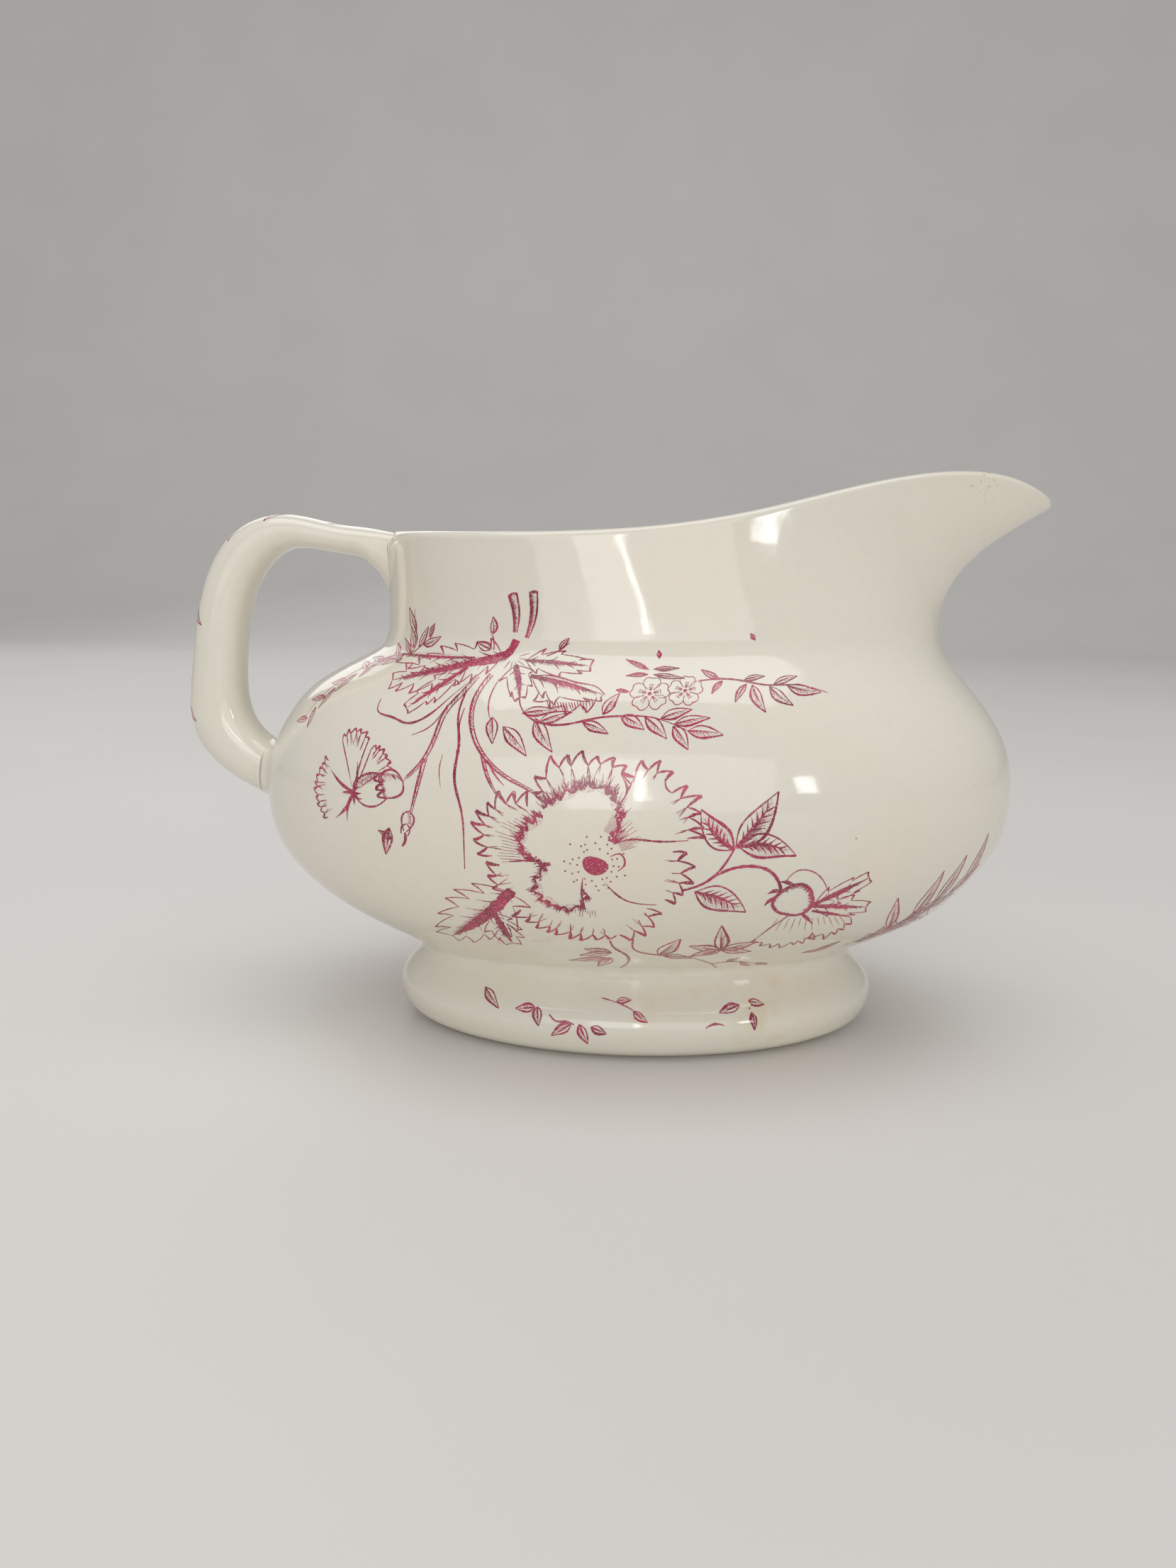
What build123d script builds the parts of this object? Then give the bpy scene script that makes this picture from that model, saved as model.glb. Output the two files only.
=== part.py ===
from build123d import *
import math
import os

import numpy as np

# An oval cream jug in glazed earthenware: a squat bowl whose neck rises into a pouring lip,
# a separately formed oval foot, and a loop handle stuck on with slip.
# Millimetres. +Z is up, +X points to the tip of the lip and the handle is on -X.
# The origin is on the table, under the centre of the whole jug.

# ---------- driving dimensions ----------

WALL = 3.2  # thickness of the bowl, square to its surface
BASE_Z = 12.5  # flat underside of the bowl, inside the foot
FLOOR_Z = 17.5  # floor of the bowl
SLIP = 0.5  # thickness of the slip that sticks each piece on

# The bowl's hull lines: height, handle end, lip end, half width.
BOWL_LINES = [
    (12.5, -40.5, 52.5, 21.5),
    (18.5, -46.5, 58.8, 27.5),
    (23.0, -54.5, 67.3, 33.5),
    (28.0, -63.3, 77.3, 39.8),
    (35.0, -72.5, 85.2, 46.2),
    (44.0, -79.2, 91.6, 51.5),
    (55.0, -81.6, 94.4, 54.0),
    (66.0, -80.0, 93.4, 53.0),
    (74.0, -75.6, 89.6, 50.5),
    (81.0, -69.0, 84.2, 47.0),
    (86.0, -60.2, 80.0, 43.3),
    (90.0, -53.2, 77.3, 40.2),
    (95.0, -51.2, 76.3, 38.8),
    (102.0, -51.0, 77.4, 38.4),
    (109.0, -51.1, 81.5, 38.5),
    (116.0, -51.3, 89.6, 38.8),
    (122.0, -51.5, 99.4, 39.2),
    (128.0, -51.7, 110.5, 39.6),
    (132.0, -51.8, 119.5, 40.0),
]
BELLY_WIDEST_X = 5.5  # where the belly is widest
NECK_WIDEST_X = 9.0  # where the neck is widest
WIDEST_SHIFTS_Z = (70.0, 100.0)  # between these heights the one gives way to the other
BLANK_TOP_Z = 132.0  # top of the bowl before the rim is cut
LIP_PINCH = 0.66  # how far the sides close in to make the pouring lip
LIP_PINCH_GROWS_Z = (86.0, 138.0)  # from none at the neck's crease to the whole of it
LIP_PINCH_FADE = 2.5  # how soon the pinch dies away round the neck
LEAST_LEVEL_GAP = 2.0  # no two levels of a loft are nearer than this

# The rim seen from the side: x, z.
RIM_LINE = [
    (-60.0, 115.8),
    (-35.0, 114.8),
    (-10.0, 115.0),
    (10.0, 116.5),
    (30.0, 120.0),
    (50.0, 125.1),
    (65.0, 128.1),
    (78.0, 129.0),
    (90.0, 127.3),
    (100.0, 122.8),
    (108.0, 117.5),
]

# The foot: height, half length, half width. It spreads above its contact edge and
# draws in again to the underside of the bowl.
FOOT_X = 7.0
FOOT_LINES = [
    (0.0, 50.5, 30.8),
    (1.2, 53.4, 33.2),
    (4.0, 56.5, 35.6),
    (7.8, 57.7, 36.4),
    (11.0, 56.9, 35.2),
    (13.5, 55.0, 32.8),
    (15.5, 53.3, 30.8),
    (17.5, 52.1, 29.2),
    (20.0, 51.5, 28.2),
]
FOOT_WALL = 6.0  # width of the band that rests on the table

# The handle's middle line from the neck to the belly: x, z, thickness, width.
HANDLE_STATIONS = [
    (-45.0, 109.0, 14.6, 17.0),
    (-51.0, 109.9, 12.6, 16.4),
    (-54.2, 111.8, 8.8, 15.8),
    (-58.0, 113.1, 7.0, 15.2),
    (-63.0, 113.8, 6.6, 14.4),
    (-70.0, 115.0, 6.9, 13.8),
    (-77.3, 115.2, 8.4, 13.4),
    (-84.3, 111.7, 10.6, 13.4),
    (-89.7, 103.9, 11.4, 13.4),
    (-92.6, 92.6, 11.7, 13.4),
    (-93.9, 80.5, 12.3, 13.6),
    (-93.1, 70.4, 13.6, 14.0),
    (-87.0, 62.6, 12.4, 14.6),
    (-80.0, 58.6, 11.8, 15.6),
    (-74.0, 56.0, 11.6, 16.0),
]
HANDLE_SQUARENESS = 2.6  # 2 is an ellipse, and larger is boxier

# The raised panel on the neck that the handle grows from.
PANEL_PROUD = 1.0
PANEL_HALF_WIDTH = 16.5
PANEL_BOTTOM_Z = 88.5
PANEL_CORNER = 3.0
PANEL_BACK_X = -36.0

SECTION_POINTS = 36
HANDLE_SECTION_POINTS = 24
LOWER_JOINT_TOP_Z = 80.0  # the handle's lower joint is below this height and its upper one above
SPARE = 100.0  # larger than the jug needs, for cutting blocks


# ---------- shared geometry ----------


def smooth_curve(knots, values):
    """Natural cubic curve through values at knots, as a function."""
    knots, values = np.asarray(knots, float), np.asarray(values, float)
    gap = np.diff(knots)
    system, known = np.eye(len(knots)), np.zeros(len(knots))
    for i in range(1, len(knots) - 1):
        system[i, i - 1 : i + 2] = gap[i - 1], 2 * (gap[i - 1] + gap[i]), gap[i]
        known[i] = 6 * ((values[i + 1] - values[i]) / gap[i] - (values[i] - values[i - 1]) / gap[i - 1])
    bend = np.linalg.solve(system, known)

    def curve(at):
        i = int(np.clip(np.searchsorted(knots, at) - 1, 0, len(gap) - 1))
        left, right = knots[i + 1] - at, at - knots[i]
        cubic = (bend[i] * left**3 + bend[i + 1] * right**3) / (6 * gap[i])
        start = (values[i] / gap[i] - bend[i] * gap[i] / 6) * left
        end = (values[i + 1] / gap[i] - bend[i + 1] * gap[i] / 6) * right
        return float(cubic + start + end)

    return curve


def ease(low, high, value):
    """0 below low, 1 above high, with a smooth ramp between."""
    share = min(max((value - low) / (high - low), 0.0), 1.0)
    return share * share * (3 - 2 * share)


def offset_line(heights, reaches, distance):
    """A hull line moved outwards by distance, square to itself."""
    slope = np.gradient(np.asarray(reaches, float), heights)
    length = np.sqrt(1 + slope**2)
    return smooth_curve(heights - distance * slope / length, reaches + distance / length)


def oval(handle_end, lip_end, half_width, z):
    """One level outline of the bowl at height z."""
    widest_x = BELLY_WIDEST_X + (NECK_WIDEST_X - BELLY_WIDEST_X) * ease(*WIDEST_SHIFTS_Z, z)
    pinch = LIP_PINCH * ease(*LIP_PINCH_GROWS_Z, z)
    middle = (handle_end + lip_end) / 2
    length, skew = (lip_end - handle_end) / 2, (middle - widest_x) / 2
    points = []
    for i in range(SECTION_POINTS):
        angle = 2 * math.pi * i / SECTION_POINTS
        x = (middle + widest_x) / 2 + length * math.cos(angle) + skew * math.cos(2 * angle)
        towards_lip = ((1 + math.cos(angle)) / 2) ** LIP_PINCH_FADE
        y = half_width * math.sin(angle) * (1 - pinch * towards_lip)
        points.append((x, y, z))
    return make_face(Spline(*points, periodic=True))


def bowl_form(distance, bottom, top=BLANK_TOP_Z):
    """The closed form of the bowl's outside, moved outwards by distance, from bottom to top."""
    heights, handle_end, lip_end, half_width = (np.array(line) for line in zip(*BOWL_LINES))
    handle_line = offset_line(heights, -handle_end, distance)
    lip_line = offset_line(heights, lip_end, distance)
    side_line = offset_line(heights, half_width, distance)
    levels = [bottom] + [z for z in heights if bottom + LEAST_LEVEL_GAP < z < top] + [top]
    return loft([oval(-handle_line(z), lip_line(z), side_line(z), z) for z in levels])


def above_rim():
    """Everything above the rim line."""
    side = Plane.XZ
    first, last = RIM_LINE[0], RIM_LINE[-1]
    top = last[1] + SPARE
    corners = [last, (last[0] + SPARE, last[1]), (last[0] + SPARE, top), (first[0], top), first]
    outline = side * Spline(*RIM_LINE) + side * Polyline(*corners)
    return extrude(make_face(outline), SPARE, both=True)


def superellipse(half_width, half_height):
    """A soft-cornered section of the handle."""
    power = 2 / HANDLE_SQUARENESS
    points = []
    for i in range(HANDLE_SECTION_POINTS):
        angle = 2 * math.pi * i / HANDLE_SECTION_POINTS
        x = math.copysign(abs(math.cos(angle)) ** power, math.cos(angle))
        y = math.copysign(abs(math.sin(angle)) ** power, math.sin(angle))
        points.append((half_width * x, half_height * y))
    return make_face(Spline(*points, periodic=True))


def upper_half():
    """Everything above the gap between the handle's two joints."""
    return Pos(0, 0, LOWER_JOINT_TOP_Z + SPARE) * Box(4 * SPARE, 2 * SPARE, 2 * SPARE)


def largest(shape):
    return max(shape.solids(), key=lambda solid: solid.volume)


# ---------- pieces ----------


def make_bowl(outside):
    """The hollow bowl, with its neck and pouring lip."""
    return largest(outside - bowl_form(-WALL, FLOOR_Z) - above_rim())


def make_foot_blank():
    """The foot, still running up into the bowl."""
    outside = loft([Pos(FOOT_X, 0, z) * Ellipse(length, width) for z, length, width in FOOT_LINES])
    contact_length, contact_width = FOOT_LINES[0][1:]
    hollow = extrude(Ellipse(contact_length - FOOT_WALL, contact_width - FOOT_WALL), SPARE, both=True)
    table = Pos(0, 0, -SPARE) * Box(4 * SPARE, 2 * SPARE, 2 * SPARE)
    return outside - Pos(FOOT_X, 0, 0) * hollow - table


def make_handle_blank():
    """The handle, with both ends still running into the bowl."""
    middle = Spline(*[(x, 0, z) for x, z, _, _ in HANDLE_STATIONS])
    sections = []
    for x, z, thickness, width in HANDLE_STATIONS:
        along = middle.tangent_at(middle.param_at_point(Vector(x, 0, z)))
        across = Plane(origin=(x, 0, z), x_dir=(0, 1, 0), z_dir=along)
        sections.append(across * superellipse(width / 2, thickness / 2))
    return loft(sections)


def make_panel(outside, panel_outside):
    """The shallow raised field on the end of the neck, up to the rim, that the handle grows from."""
    height = BLANK_TOP_Z - PANEL_BOTTOM_Z
    outline = Plane.YZ * Pos(0, PANEL_BOTTOM_Z + height / 2) * RectangleRounded(
        2 * PANEL_HALF_WIDTH, height, PANEL_CORNER
    )
    block = Pos(PANEL_BACK_X, 0, 0) * extrude(outline, -SPARE)
    return largest((panel_outside & block) - outside - above_rim())


def main():
    outside = bowl_form(0, BASE_Z)
    slip_outside = bowl_form(SLIP, BASE_Z - SLIP)
    panel_outside = bowl_form(PANEL_PROUD, BASE_Z)
    panel_slip_outside = bowl_form(PANEL_PROUD + SLIP, BASE_Z)
    foot_blank = make_foot_blank()
    handle_blank = make_handle_blank()
    upper_slip = (handle_blank & panel_slip_outside & upper_half()) - panel_outside - above_rim()
    lower_slip = (handle_blank & slip_outside) - outside - upper_half()
    parts = {
        "bowl": make_bowl(outside),
        "foot_ring": largest(foot_blank - slip_outside),
        "handle": largest(handle_blank - slip_outside - (panel_slip_outside & upper_half())),
        "handle_panel": make_panel(outside, panel_outside),
        "foot_slip_joint": largest((foot_blank & slip_outside) - outside),
        "handle_upper_slip_joint": largest(upper_slip),
        "handle_lower_slip_joint": largest(lower_slip),
    }
    os.makedirs("parts", exist_ok=True)
    for name, part in parts.items():
        export_step(part, f"parts/{name}.step")


main()
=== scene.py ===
import math

import bpy
import numpy as np
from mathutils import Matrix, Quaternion, Vector
from mathutils.bvhtree import BVHTree


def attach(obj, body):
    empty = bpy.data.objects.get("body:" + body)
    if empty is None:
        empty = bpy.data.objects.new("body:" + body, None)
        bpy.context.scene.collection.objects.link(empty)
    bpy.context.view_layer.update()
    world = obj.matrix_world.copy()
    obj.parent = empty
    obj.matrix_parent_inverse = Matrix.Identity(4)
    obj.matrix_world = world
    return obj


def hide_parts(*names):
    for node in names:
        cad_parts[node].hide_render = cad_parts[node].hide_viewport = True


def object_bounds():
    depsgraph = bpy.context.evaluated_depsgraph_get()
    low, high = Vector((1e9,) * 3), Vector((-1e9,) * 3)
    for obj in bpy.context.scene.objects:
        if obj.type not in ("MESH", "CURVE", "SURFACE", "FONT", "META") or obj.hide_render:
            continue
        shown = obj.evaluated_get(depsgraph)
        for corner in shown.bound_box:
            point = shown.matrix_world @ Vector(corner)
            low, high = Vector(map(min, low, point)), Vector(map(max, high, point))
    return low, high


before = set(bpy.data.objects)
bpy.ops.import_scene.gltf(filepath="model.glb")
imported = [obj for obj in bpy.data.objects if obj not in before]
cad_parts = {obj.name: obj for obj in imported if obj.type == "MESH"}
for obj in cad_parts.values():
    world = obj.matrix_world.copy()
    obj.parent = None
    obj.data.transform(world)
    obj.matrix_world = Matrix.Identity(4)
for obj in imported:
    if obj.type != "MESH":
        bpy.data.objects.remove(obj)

CAD_BOX = [list(corner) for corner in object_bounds()]

# An oval cream jug in ivory glazed earthenware with crimson printed flowers.
# Shapes are worked out in millimetres, in the CAD frame, and made in metres.

MM = 0.001
BODY = "root"

# ---------- the jug's form, with the CAD's own numbers ----------

# Height, handle end, lip end and half width of the bowl.
BOWL_LINES = np.array([
    (12.5, -40.5, 52.5, 21.5),
    (18.5, -46.5, 58.8, 27.5),
    (23.0, -54.5, 67.3, 33.5),
    (28.0, -63.3, 77.3, 39.8),
    (35.0, -72.5, 85.2, 46.2),
    (44.0, -79.2, 91.6, 51.5),
    (55.0, -81.6, 94.4, 54.0),
    (66.0, -80.0, 93.4, 53.0),
    (74.0, -75.6, 89.6, 50.5),
    (81.0, -69.0, 84.2, 47.0),
    (86.0, -60.2, 80.0, 43.3),
    (90.0, -53.2, 77.3, 40.2),
    (95.0, -51.2, 76.3, 38.8),
    (102.0, -51.0, 77.4, 38.4),
    (109.0, -51.1, 81.5, 38.5),
    (116.0, -51.3, 89.6, 38.8),
    (122.0, -51.5, 99.4, 39.2),
    (128.0, -51.7, 110.5, 39.6),
    (132.0, -51.8, 119.5, 40.0),
])
BASE_Z = 12.5
FLOOR_Z = 17.5
BELLY_WIDEST_X = 5.5
NECK_WIDEST_X = 9.0
WIDEST_SHIFTS_Z = (70.0, 100.0)     # between these heights the one gives way to the other
LIP_PINCH = 0.66
LIP_PINCH_GROWS_Z = (86.0, 138.0)   # from none at the neck's crease to the whole of it
LIP_PINCH_FADE = 2.5                # how soon the pinch dies away round the neck
WALL = 3.2
RIM_WALL = 2.7
WALL_THINS_Z = (84.0, 108.0)

# Height of the rim at distances from handle to lip.
RIM_LINE = np.array([
    (-60.0, 115.8),
    (-35.0, 114.8),
    (-10.0, 115.0),
    (10.0, 116.5),
    (30.0, 120.0),
    (50.0, 125.1),
    (65.0, 128.1),
    (78.0, 129.0),
    (90.0, 127.3),
    (100.0, 122.8),
    (108.0, 117.5),
])

# Height, half length and half width of the foot.
FOOT_X = 7.0
FOOT_LINES = np.array([
    (0.0, 50.5, 30.8),
    (1.2, 53.4, 33.2),
    (4.0, 56.5, 35.6),
    (7.8, 57.7, 36.4),
    (11.0, 56.9, 35.2),
    (13.5, 55.0, 32.8),
    (15.5, 53.3, 30.8),
    (17.5, 52.1, 29.2),
    (20.0, 51.5, 28.2),
])
FOOT_WALL = 6.0
FOOT_GIRTH_Z = 7.0
BARE_EDGE = 0.35         # height to which the glaze is wiped off the foot

# The handle's middle line, its thickness and its width, from the neck to the belly.
HANDLE_STATIONS = np.array([
    (-51.0, 109.9, 12.6, 16.4),
    (-54.2, 111.8, 8.8, 15.8),
    (-58.0, 113.1, 7.0, 15.2),
    (-63.0, 113.8, 6.6, 14.4),
    (-70.0, 115.0, 6.9, 13.8),
    (-77.3, 115.2, 8.4, 13.4),
    (-84.3, 111.7, 10.6, 13.4),
    (-89.7, 103.9, 11.4, 13.4),
    (-92.6, 92.6, 11.7, 13.4),
    (-93.9, 80.5, 12.3, 13.6),
    (-93.1, 70.4, 13.6, 14.0),
    (-87.0, 62.6, 12.4, 14.6),
    (-80.0, 58.6, 11.8, 15.6),
    (-76.5, 57.1, 11.7, 15.8),
])
HANDLE_SQUARENESS = 2.6

PANEL_PROUD = 1.0
PANEL_HALF_WIDTH = 16.5
PANEL_BOTTOM_Z = 88.5
PANEL_TOP_Z = 113.4
PANEL_CORNER = 3.0


def smooth_curve(knots, values):
    """Natural cubic curve through values at knots, for one number or an array."""
    knots, values = np.asarray(knots, float), np.asarray(values, float)
    gap = np.diff(knots)
    system, known = np.eye(len(knots)), np.zeros(len(knots))
    for i in range(1, len(knots) - 1):
        system[i, i - 1 : i + 2] = gap[i - 1], 2 * (gap[i - 1] + gap[i]), gap[i]
        known[i] = 6 * ((values[i + 1] - values[i]) / gap[i] - (values[i] - values[i - 1]) / gap[i - 1])
    bend = np.linalg.solve(system, known)

    def curve(at):
        at = np.asarray(at, float)
        i = np.clip(np.searchsorted(knots, at) - 1, 0, len(gap) - 1)
        left, right = knots[i + 1] - at, at - knots[i]
        cubic = (bend[i] * left**3 + bend[i + 1] * right**3) / (6 * gap[i])
        start = (values[i] / gap[i] - bend[i] * gap[i] / 6) * left
        end = (values[i + 1] / gap[i] - bend[i + 1] * gap[i] / 6) * right
        return cubic + start + end

    return curve


def ease(low, high, value):
    """From 0 at low to 1 at high, with level ends."""
    share = np.clip((value - low) / (high - low), 0.0, 1.0)
    return share * share * (3 - 2 * share)


def run_along(points):
    """Distance along a line of points, from its first."""
    return np.concatenate([[0], np.cumsum(np.hypot(*np.diff(points, axis=0).T))])


def side_ways(line):
    """Unit directions along a line of points, and to the left of it."""
    along = np.gradient(line, axis=0)
    along /= np.linalg.norm(along, axis=1, keepdims=True) + 1e-9
    return along, np.stack([-along[:, 1], along[:, 0]], 1)


handle_end, lip_end, half_width = (smooth_curve(BOWL_LINES[:, 0], BOWL_LINES[:, k]) for k in (1, 2, 3))
rim_height = smooth_curve(RIM_LINE[:, 0], RIM_LINE[:, 1])


def bowl_point(angle, z):
    """The bowl's outside at an angle round it and a height."""
    angle, z = np.broadcast_arrays(np.asarray(angle, float), np.asarray(z, float))
    widest_x = BELLY_WIDEST_X + (NECK_WIDEST_X - BELLY_WIDEST_X) * ease(*WIDEST_SHIFTS_Z, z)
    pinch = LIP_PINCH * ease(*LIP_PINCH_GROWS_Z, z)
    low, high = handle_end(z), lip_end(z)
    middle, length = (low + high) / 2, (high - low) / 2
    skew = (middle - widest_x) / 2
    x = (middle + widest_x) / 2 + length * np.cos(angle) + skew * np.cos(2 * angle)
    towards_lip = ((1 + np.cos(angle)) / 2) ** LIP_PINCH_FADE
    y = half_width(z) * np.sin(angle) * (1 - pinch * towards_lip)
    return np.stack([x, y, z], -1)


def bowl_normal(angle, z):
    """Outward normal of the bowl's outside."""
    turn, rise = 1e-4, 1e-3
    across = bowl_point(angle + turn, z) - bowl_point(angle - turn, z)
    up = bowl_point(angle, z + rise) - bowl_point(angle, z - rise)
    normal = np.cross(across, up)
    return normal / np.linalg.norm(normal, axis=-1, keepdims=True)


def bowl_upward(angle, z):
    """Unit direction up the bowl's outside."""
    up = bowl_point(angle, z + 1e-3) - bowl_point(angle, z - 1e-3)
    return up / np.linalg.norm(up, axis=-1, keepdims=True)


# ---------- mesh making ----------


def make_piece(name, points, faces, material, replaces=()):
    """A mesh piece in metres from points in millimetres."""
    mesh = bpy.data.meshes.new(name)
    mesh.from_pydata((np.asarray(points) * MM).tolist(), [], faces)
    mesh.validate()
    mesh.update()
    mesh.shade_smooth()
    piece = bpy.data.objects.new(name, mesh)
    bpy.context.scene.collection.objects.link(piece)
    mesh.materials.append(material)
    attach(piece, BODY)
    if replaces:
        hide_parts(*replaces)


def ring_faces(rings, count, closed=False):
    """Quads between rings of count points each. closed joins the last ring to the first."""
    faces = []
    spans = rings if closed else rings - 1
    for r in range(spans):
        a, b = r * count, ((r + 1) % rings) * count
        for i in range(count):
            j = (i + 1) % count
            faces.append((a + i, a + j, b + j, b + i))
    return faces


def tree_of(points, faces):
    """A search tree for rays and nearest points on a mesh."""
    return BVHTree.FromPolygons([Vector(p) for p in points], faces)


# ---------- bowl ----------

ROUND = 360              # points round the bowl
FOOT_ROUND = 300
RIM_MIDDLE_Z = 118.0     # where the search for the rim starts
OUTSIDE_LEVELS = 150
INSIDE_LEVELS = 52
INSIDE_LOW_Z = 19.5      # below this the inside rounds off into the floor
LIP_STEPS = 7
FLOOR_STEPS = 10
HANDLE_LIFT = 0.5        # how much the rim rises where the handle runs onto it
HANDLE_LIFT_SPREAD = 8.0


def rim_top(point):
    """Height of the rim over a point on the bowl."""
    lift = HANDLE_LIFT * np.exp(-((point[..., 1] / HANDLE_LIFT_SPREAD) ** 2))
    return rim_height(point[..., 0]) + lift * ease(-38, -49, point[..., 0])


def lip_start(angle):
    """Height at which the bowl's outside turns over into the rim."""
    z = np.full(angle.shape, RIM_MIDDLE_Z)
    for _ in range(60):
        rise = bowl_upward(angle, z)[..., 2]
        z = (z + rim_top(bowl_point(angle, z)) - RIM_WALL / 2 * rise) / 2
    return z


def wall_at(z):
    """Thickness of the bowl's wall at a height."""
    return WALL + (RIM_WALL - WALL) * ease(*WALL_THINS_Z, z)


def bowl_rings():
    """Rings of points up the outside, over the rim, down the inside and across the floor."""
    angle = np.linspace(0, 2 * np.pi, ROUND, endpoint=False)
    top = lip_start(angle)
    rings = []
    underside = bowl_point(angle, BASE_Z)
    middle = underside.mean(0)
    for share in np.linspace(0.05, 1, 8):
        ring = middle + (underside - middle) * share
        ring[:, 2] = BASE_Z + 0.8 * (1 - share**2)
        rings.append(ring)
    for share in np.linspace(0, 1, OUTSIDE_LEVELS)[1:]:
        rings.append(bowl_point(angle, BASE_Z + (top - BASE_Z) * share))
    normal, upward = bowl_normal(angle, top), bowl_upward(angle, top)
    radius = RIM_WALL / 2
    centre = rings[-1] - normal * radius
    for turn in np.linspace(0, np.pi, LIP_STEPS + 2)[1:-1]:
        rings.append(centre + radius * (normal * np.cos(turn) + upward * np.sin(turn)))
    for share in np.linspace(1, 0, INSIDE_LEVELS):
        z = INSIDE_LOW_Z + (top - INSIDE_LOW_Z) * share
        rings.append(bowl_point(angle, z) - bowl_normal(angle, z) * wall_at(z)[:, None])
    edge = rings[-1]
    middle = np.array([edge[:, 0].mean(), 0, FLOOR_Z + 0.7])
    for share in np.linspace(1, 0, FLOOR_STEPS)[1:]:
        share = max(share, 0.04)
        ring = middle + (edge - middle) * share
        ring[:, 2] = middle[2] + (edge[:, 2] - middle[2]) * share**3
        rings.append(ring)
    return rings


def capped(rings, count):
    """Points and faces of rings with both ends filled in by a fan."""
    points = np.concatenate(rings)
    faces = ring_faces(len(rings), count)
    first, last = len(points), len(points) + 1
    points = np.vstack([points, rings[0].mean(0), rings[-1].mean(0)])
    end = (len(rings) - 1) * count
    for i in range(count):
        j = (i + 1) % count
        faces.append((first, j, i))
        faces.append((last, end + i, end + j))
    return points, faces


# ---------- foot ----------

foot_length, foot_width = (smooth_curve(FOOT_LINES[:, 0], FOOT_LINES[:, k]) for k in (1, 2))


def foot_point(angle, z):
    """The foot's outside at an angle round it and a height."""
    angle, z = np.broadcast_arrays(np.asarray(angle, float), np.asarray(z, float))
    x = FOOT_X + foot_length(z) * np.cos(angle)
    return np.stack([x, foot_width(z) * np.sin(angle), z], -1)


def foot_inside(angle, z, inset=FOOT_WALL):
    """A level ring set in from the foot's lowest edge."""
    length, width = FOOT_LINES[0, 1] - inset, FOOT_LINES[0, 2] - inset
    return np.stack([FOOT_X + length * np.cos(angle), width * np.sin(angle), np.full(angle.shape, z)], -1)


def foot_rings(angle):
    """Rings up the outside of the foot, across its hidden top and down its inner wall."""
    rings = [foot_point(angle, z) for z in np.linspace(BARE_EDGE, 19.0, 64)]
    rings.append(foot_inside(angle, 16.0, FOOT_WALL - 1.5))
    rings += [foot_inside(angle, z) for z in np.linspace(14.5, 1.2, 12)]
    rings.append(foot_inside(angle, BARE_EDGE, FOOT_WALL - 0.5))
    return rings


def bare_edge_rings(angle):
    """The narrow flat band the jug rests on, where the glaze is wiped off."""
    outer_side = [(0.15, BARE_EDGE + 0.25), (0.0, BARE_EDGE), (0.35, 0.08), (0.9, 0.0)]
    inner_side = [(1.2, 0.0), (0.7, 0.1), (0.45, BARE_EDGE), (0.7, BARE_EDGE + 0.25)]
    rings = [foot_inside(angle, z, inset) for inset, z in outer_side]
    return rings + [foot_inside(angle, z, FOOT_WALL - outset) for outset, z in inner_side]


# ---------- handle ----------

HANDLE_ROUND = 96
HANDLE_LEVELS = 150
HANDLE_RUN = run_along(HANDLE_STATIONS[:, :2])
handle_x, handle_z, handle_thickness, handle_width = (
    smooth_curve(HANDLE_RUN, HANDLE_STATIONS[:, k]) for k in range(4)
)


def handle_ring(run):
    """One section of the handle at a distance along its middle line."""
    before, after = (np.array([handle_x(at), 0, handle_z(at)]) for at in (run - 0.01, run + 0.01))
    along = (after - before) / np.linalg.norm(after - before)
    outward = np.array([along[2], 0, -along[0]])
    power = 2 / (HANDLE_SQUARENESS + 1.4 * float(ease(9, 1, run)))
    turn = np.linspace(0, 2 * np.pi, HANDLE_ROUND, endpoint=False)
    across = np.sign(np.cos(turn)) * np.abs(np.cos(turn)) ** power
    through = np.sign(np.sin(turn)) * np.abs(np.sin(turn)) ** power
    middle = np.array([handle_x(run), 0, handle_z(run)])
    ring = middle + np.outer(through * (handle_thickness(run) / 2), outward)
    ring[:, 1] += across * (handle_width(run) / 2)
    return ring


def neck_recess(y):
    """How far the neck's end has fallen away from its tip at a distance to the side."""
    angle = np.pi + np.linspace(-0.6, 0.6, 121)
    curve = bowl_point(angle, 108.0)
    order = np.argsort(curve[:, 1])
    return np.interp(y, curve[order, 1], curve[order, 0]) - curve[:, 0].min()


NECK_END_FLARE = 5.2      # how far the handle's underside sweeps down to the neck
NECK_END_REACH = 3.0      # how far its underside moves in to the neck
NECK_END_DROP = 0.15      # how far its top comes down to the rim
NECK_END_DEPTH = 1.4      # how far the handle goes into the neck's wall


def neck_end(ring, run, depth=NECK_END_DEPTH):
    """Bends a section near the neck: its top comes to the rim, its underside sweeps down the neck, and
    no point lies deeper in the neck's wall than depth."""
    middle = ring.mean(0)
    height = (ring[:, 2] - middle[2]) / np.abs(ring[:, 2] - middle[2]).max()
    under = np.maximum(-height, 0)
    ring[:, 0] += neck_recess(ring[:, 1]) * float(ease(7, 0.5, run))
    ring[:, 0] += under * NECK_END_REACH * float(ease(6, 0, run))
    ring[:, 2] -= np.maximum(height, 0) * NECK_END_DROP * float(ease(8, 0, run))
    ring[:, 2] -= under * NECK_END_FLARE * max(1 - run / 6.5, 0) ** 2.2
    wall = bowl_point(np.full(len(ring), np.pi), ring[:, 2])[:, 0] + neck_recess(ring[:, 1])
    ring[:, 0] = np.minimum(ring[:, 0], wall + depth) if depth >= NECK_END_DEPTH else wall + depth
    return ring


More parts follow.
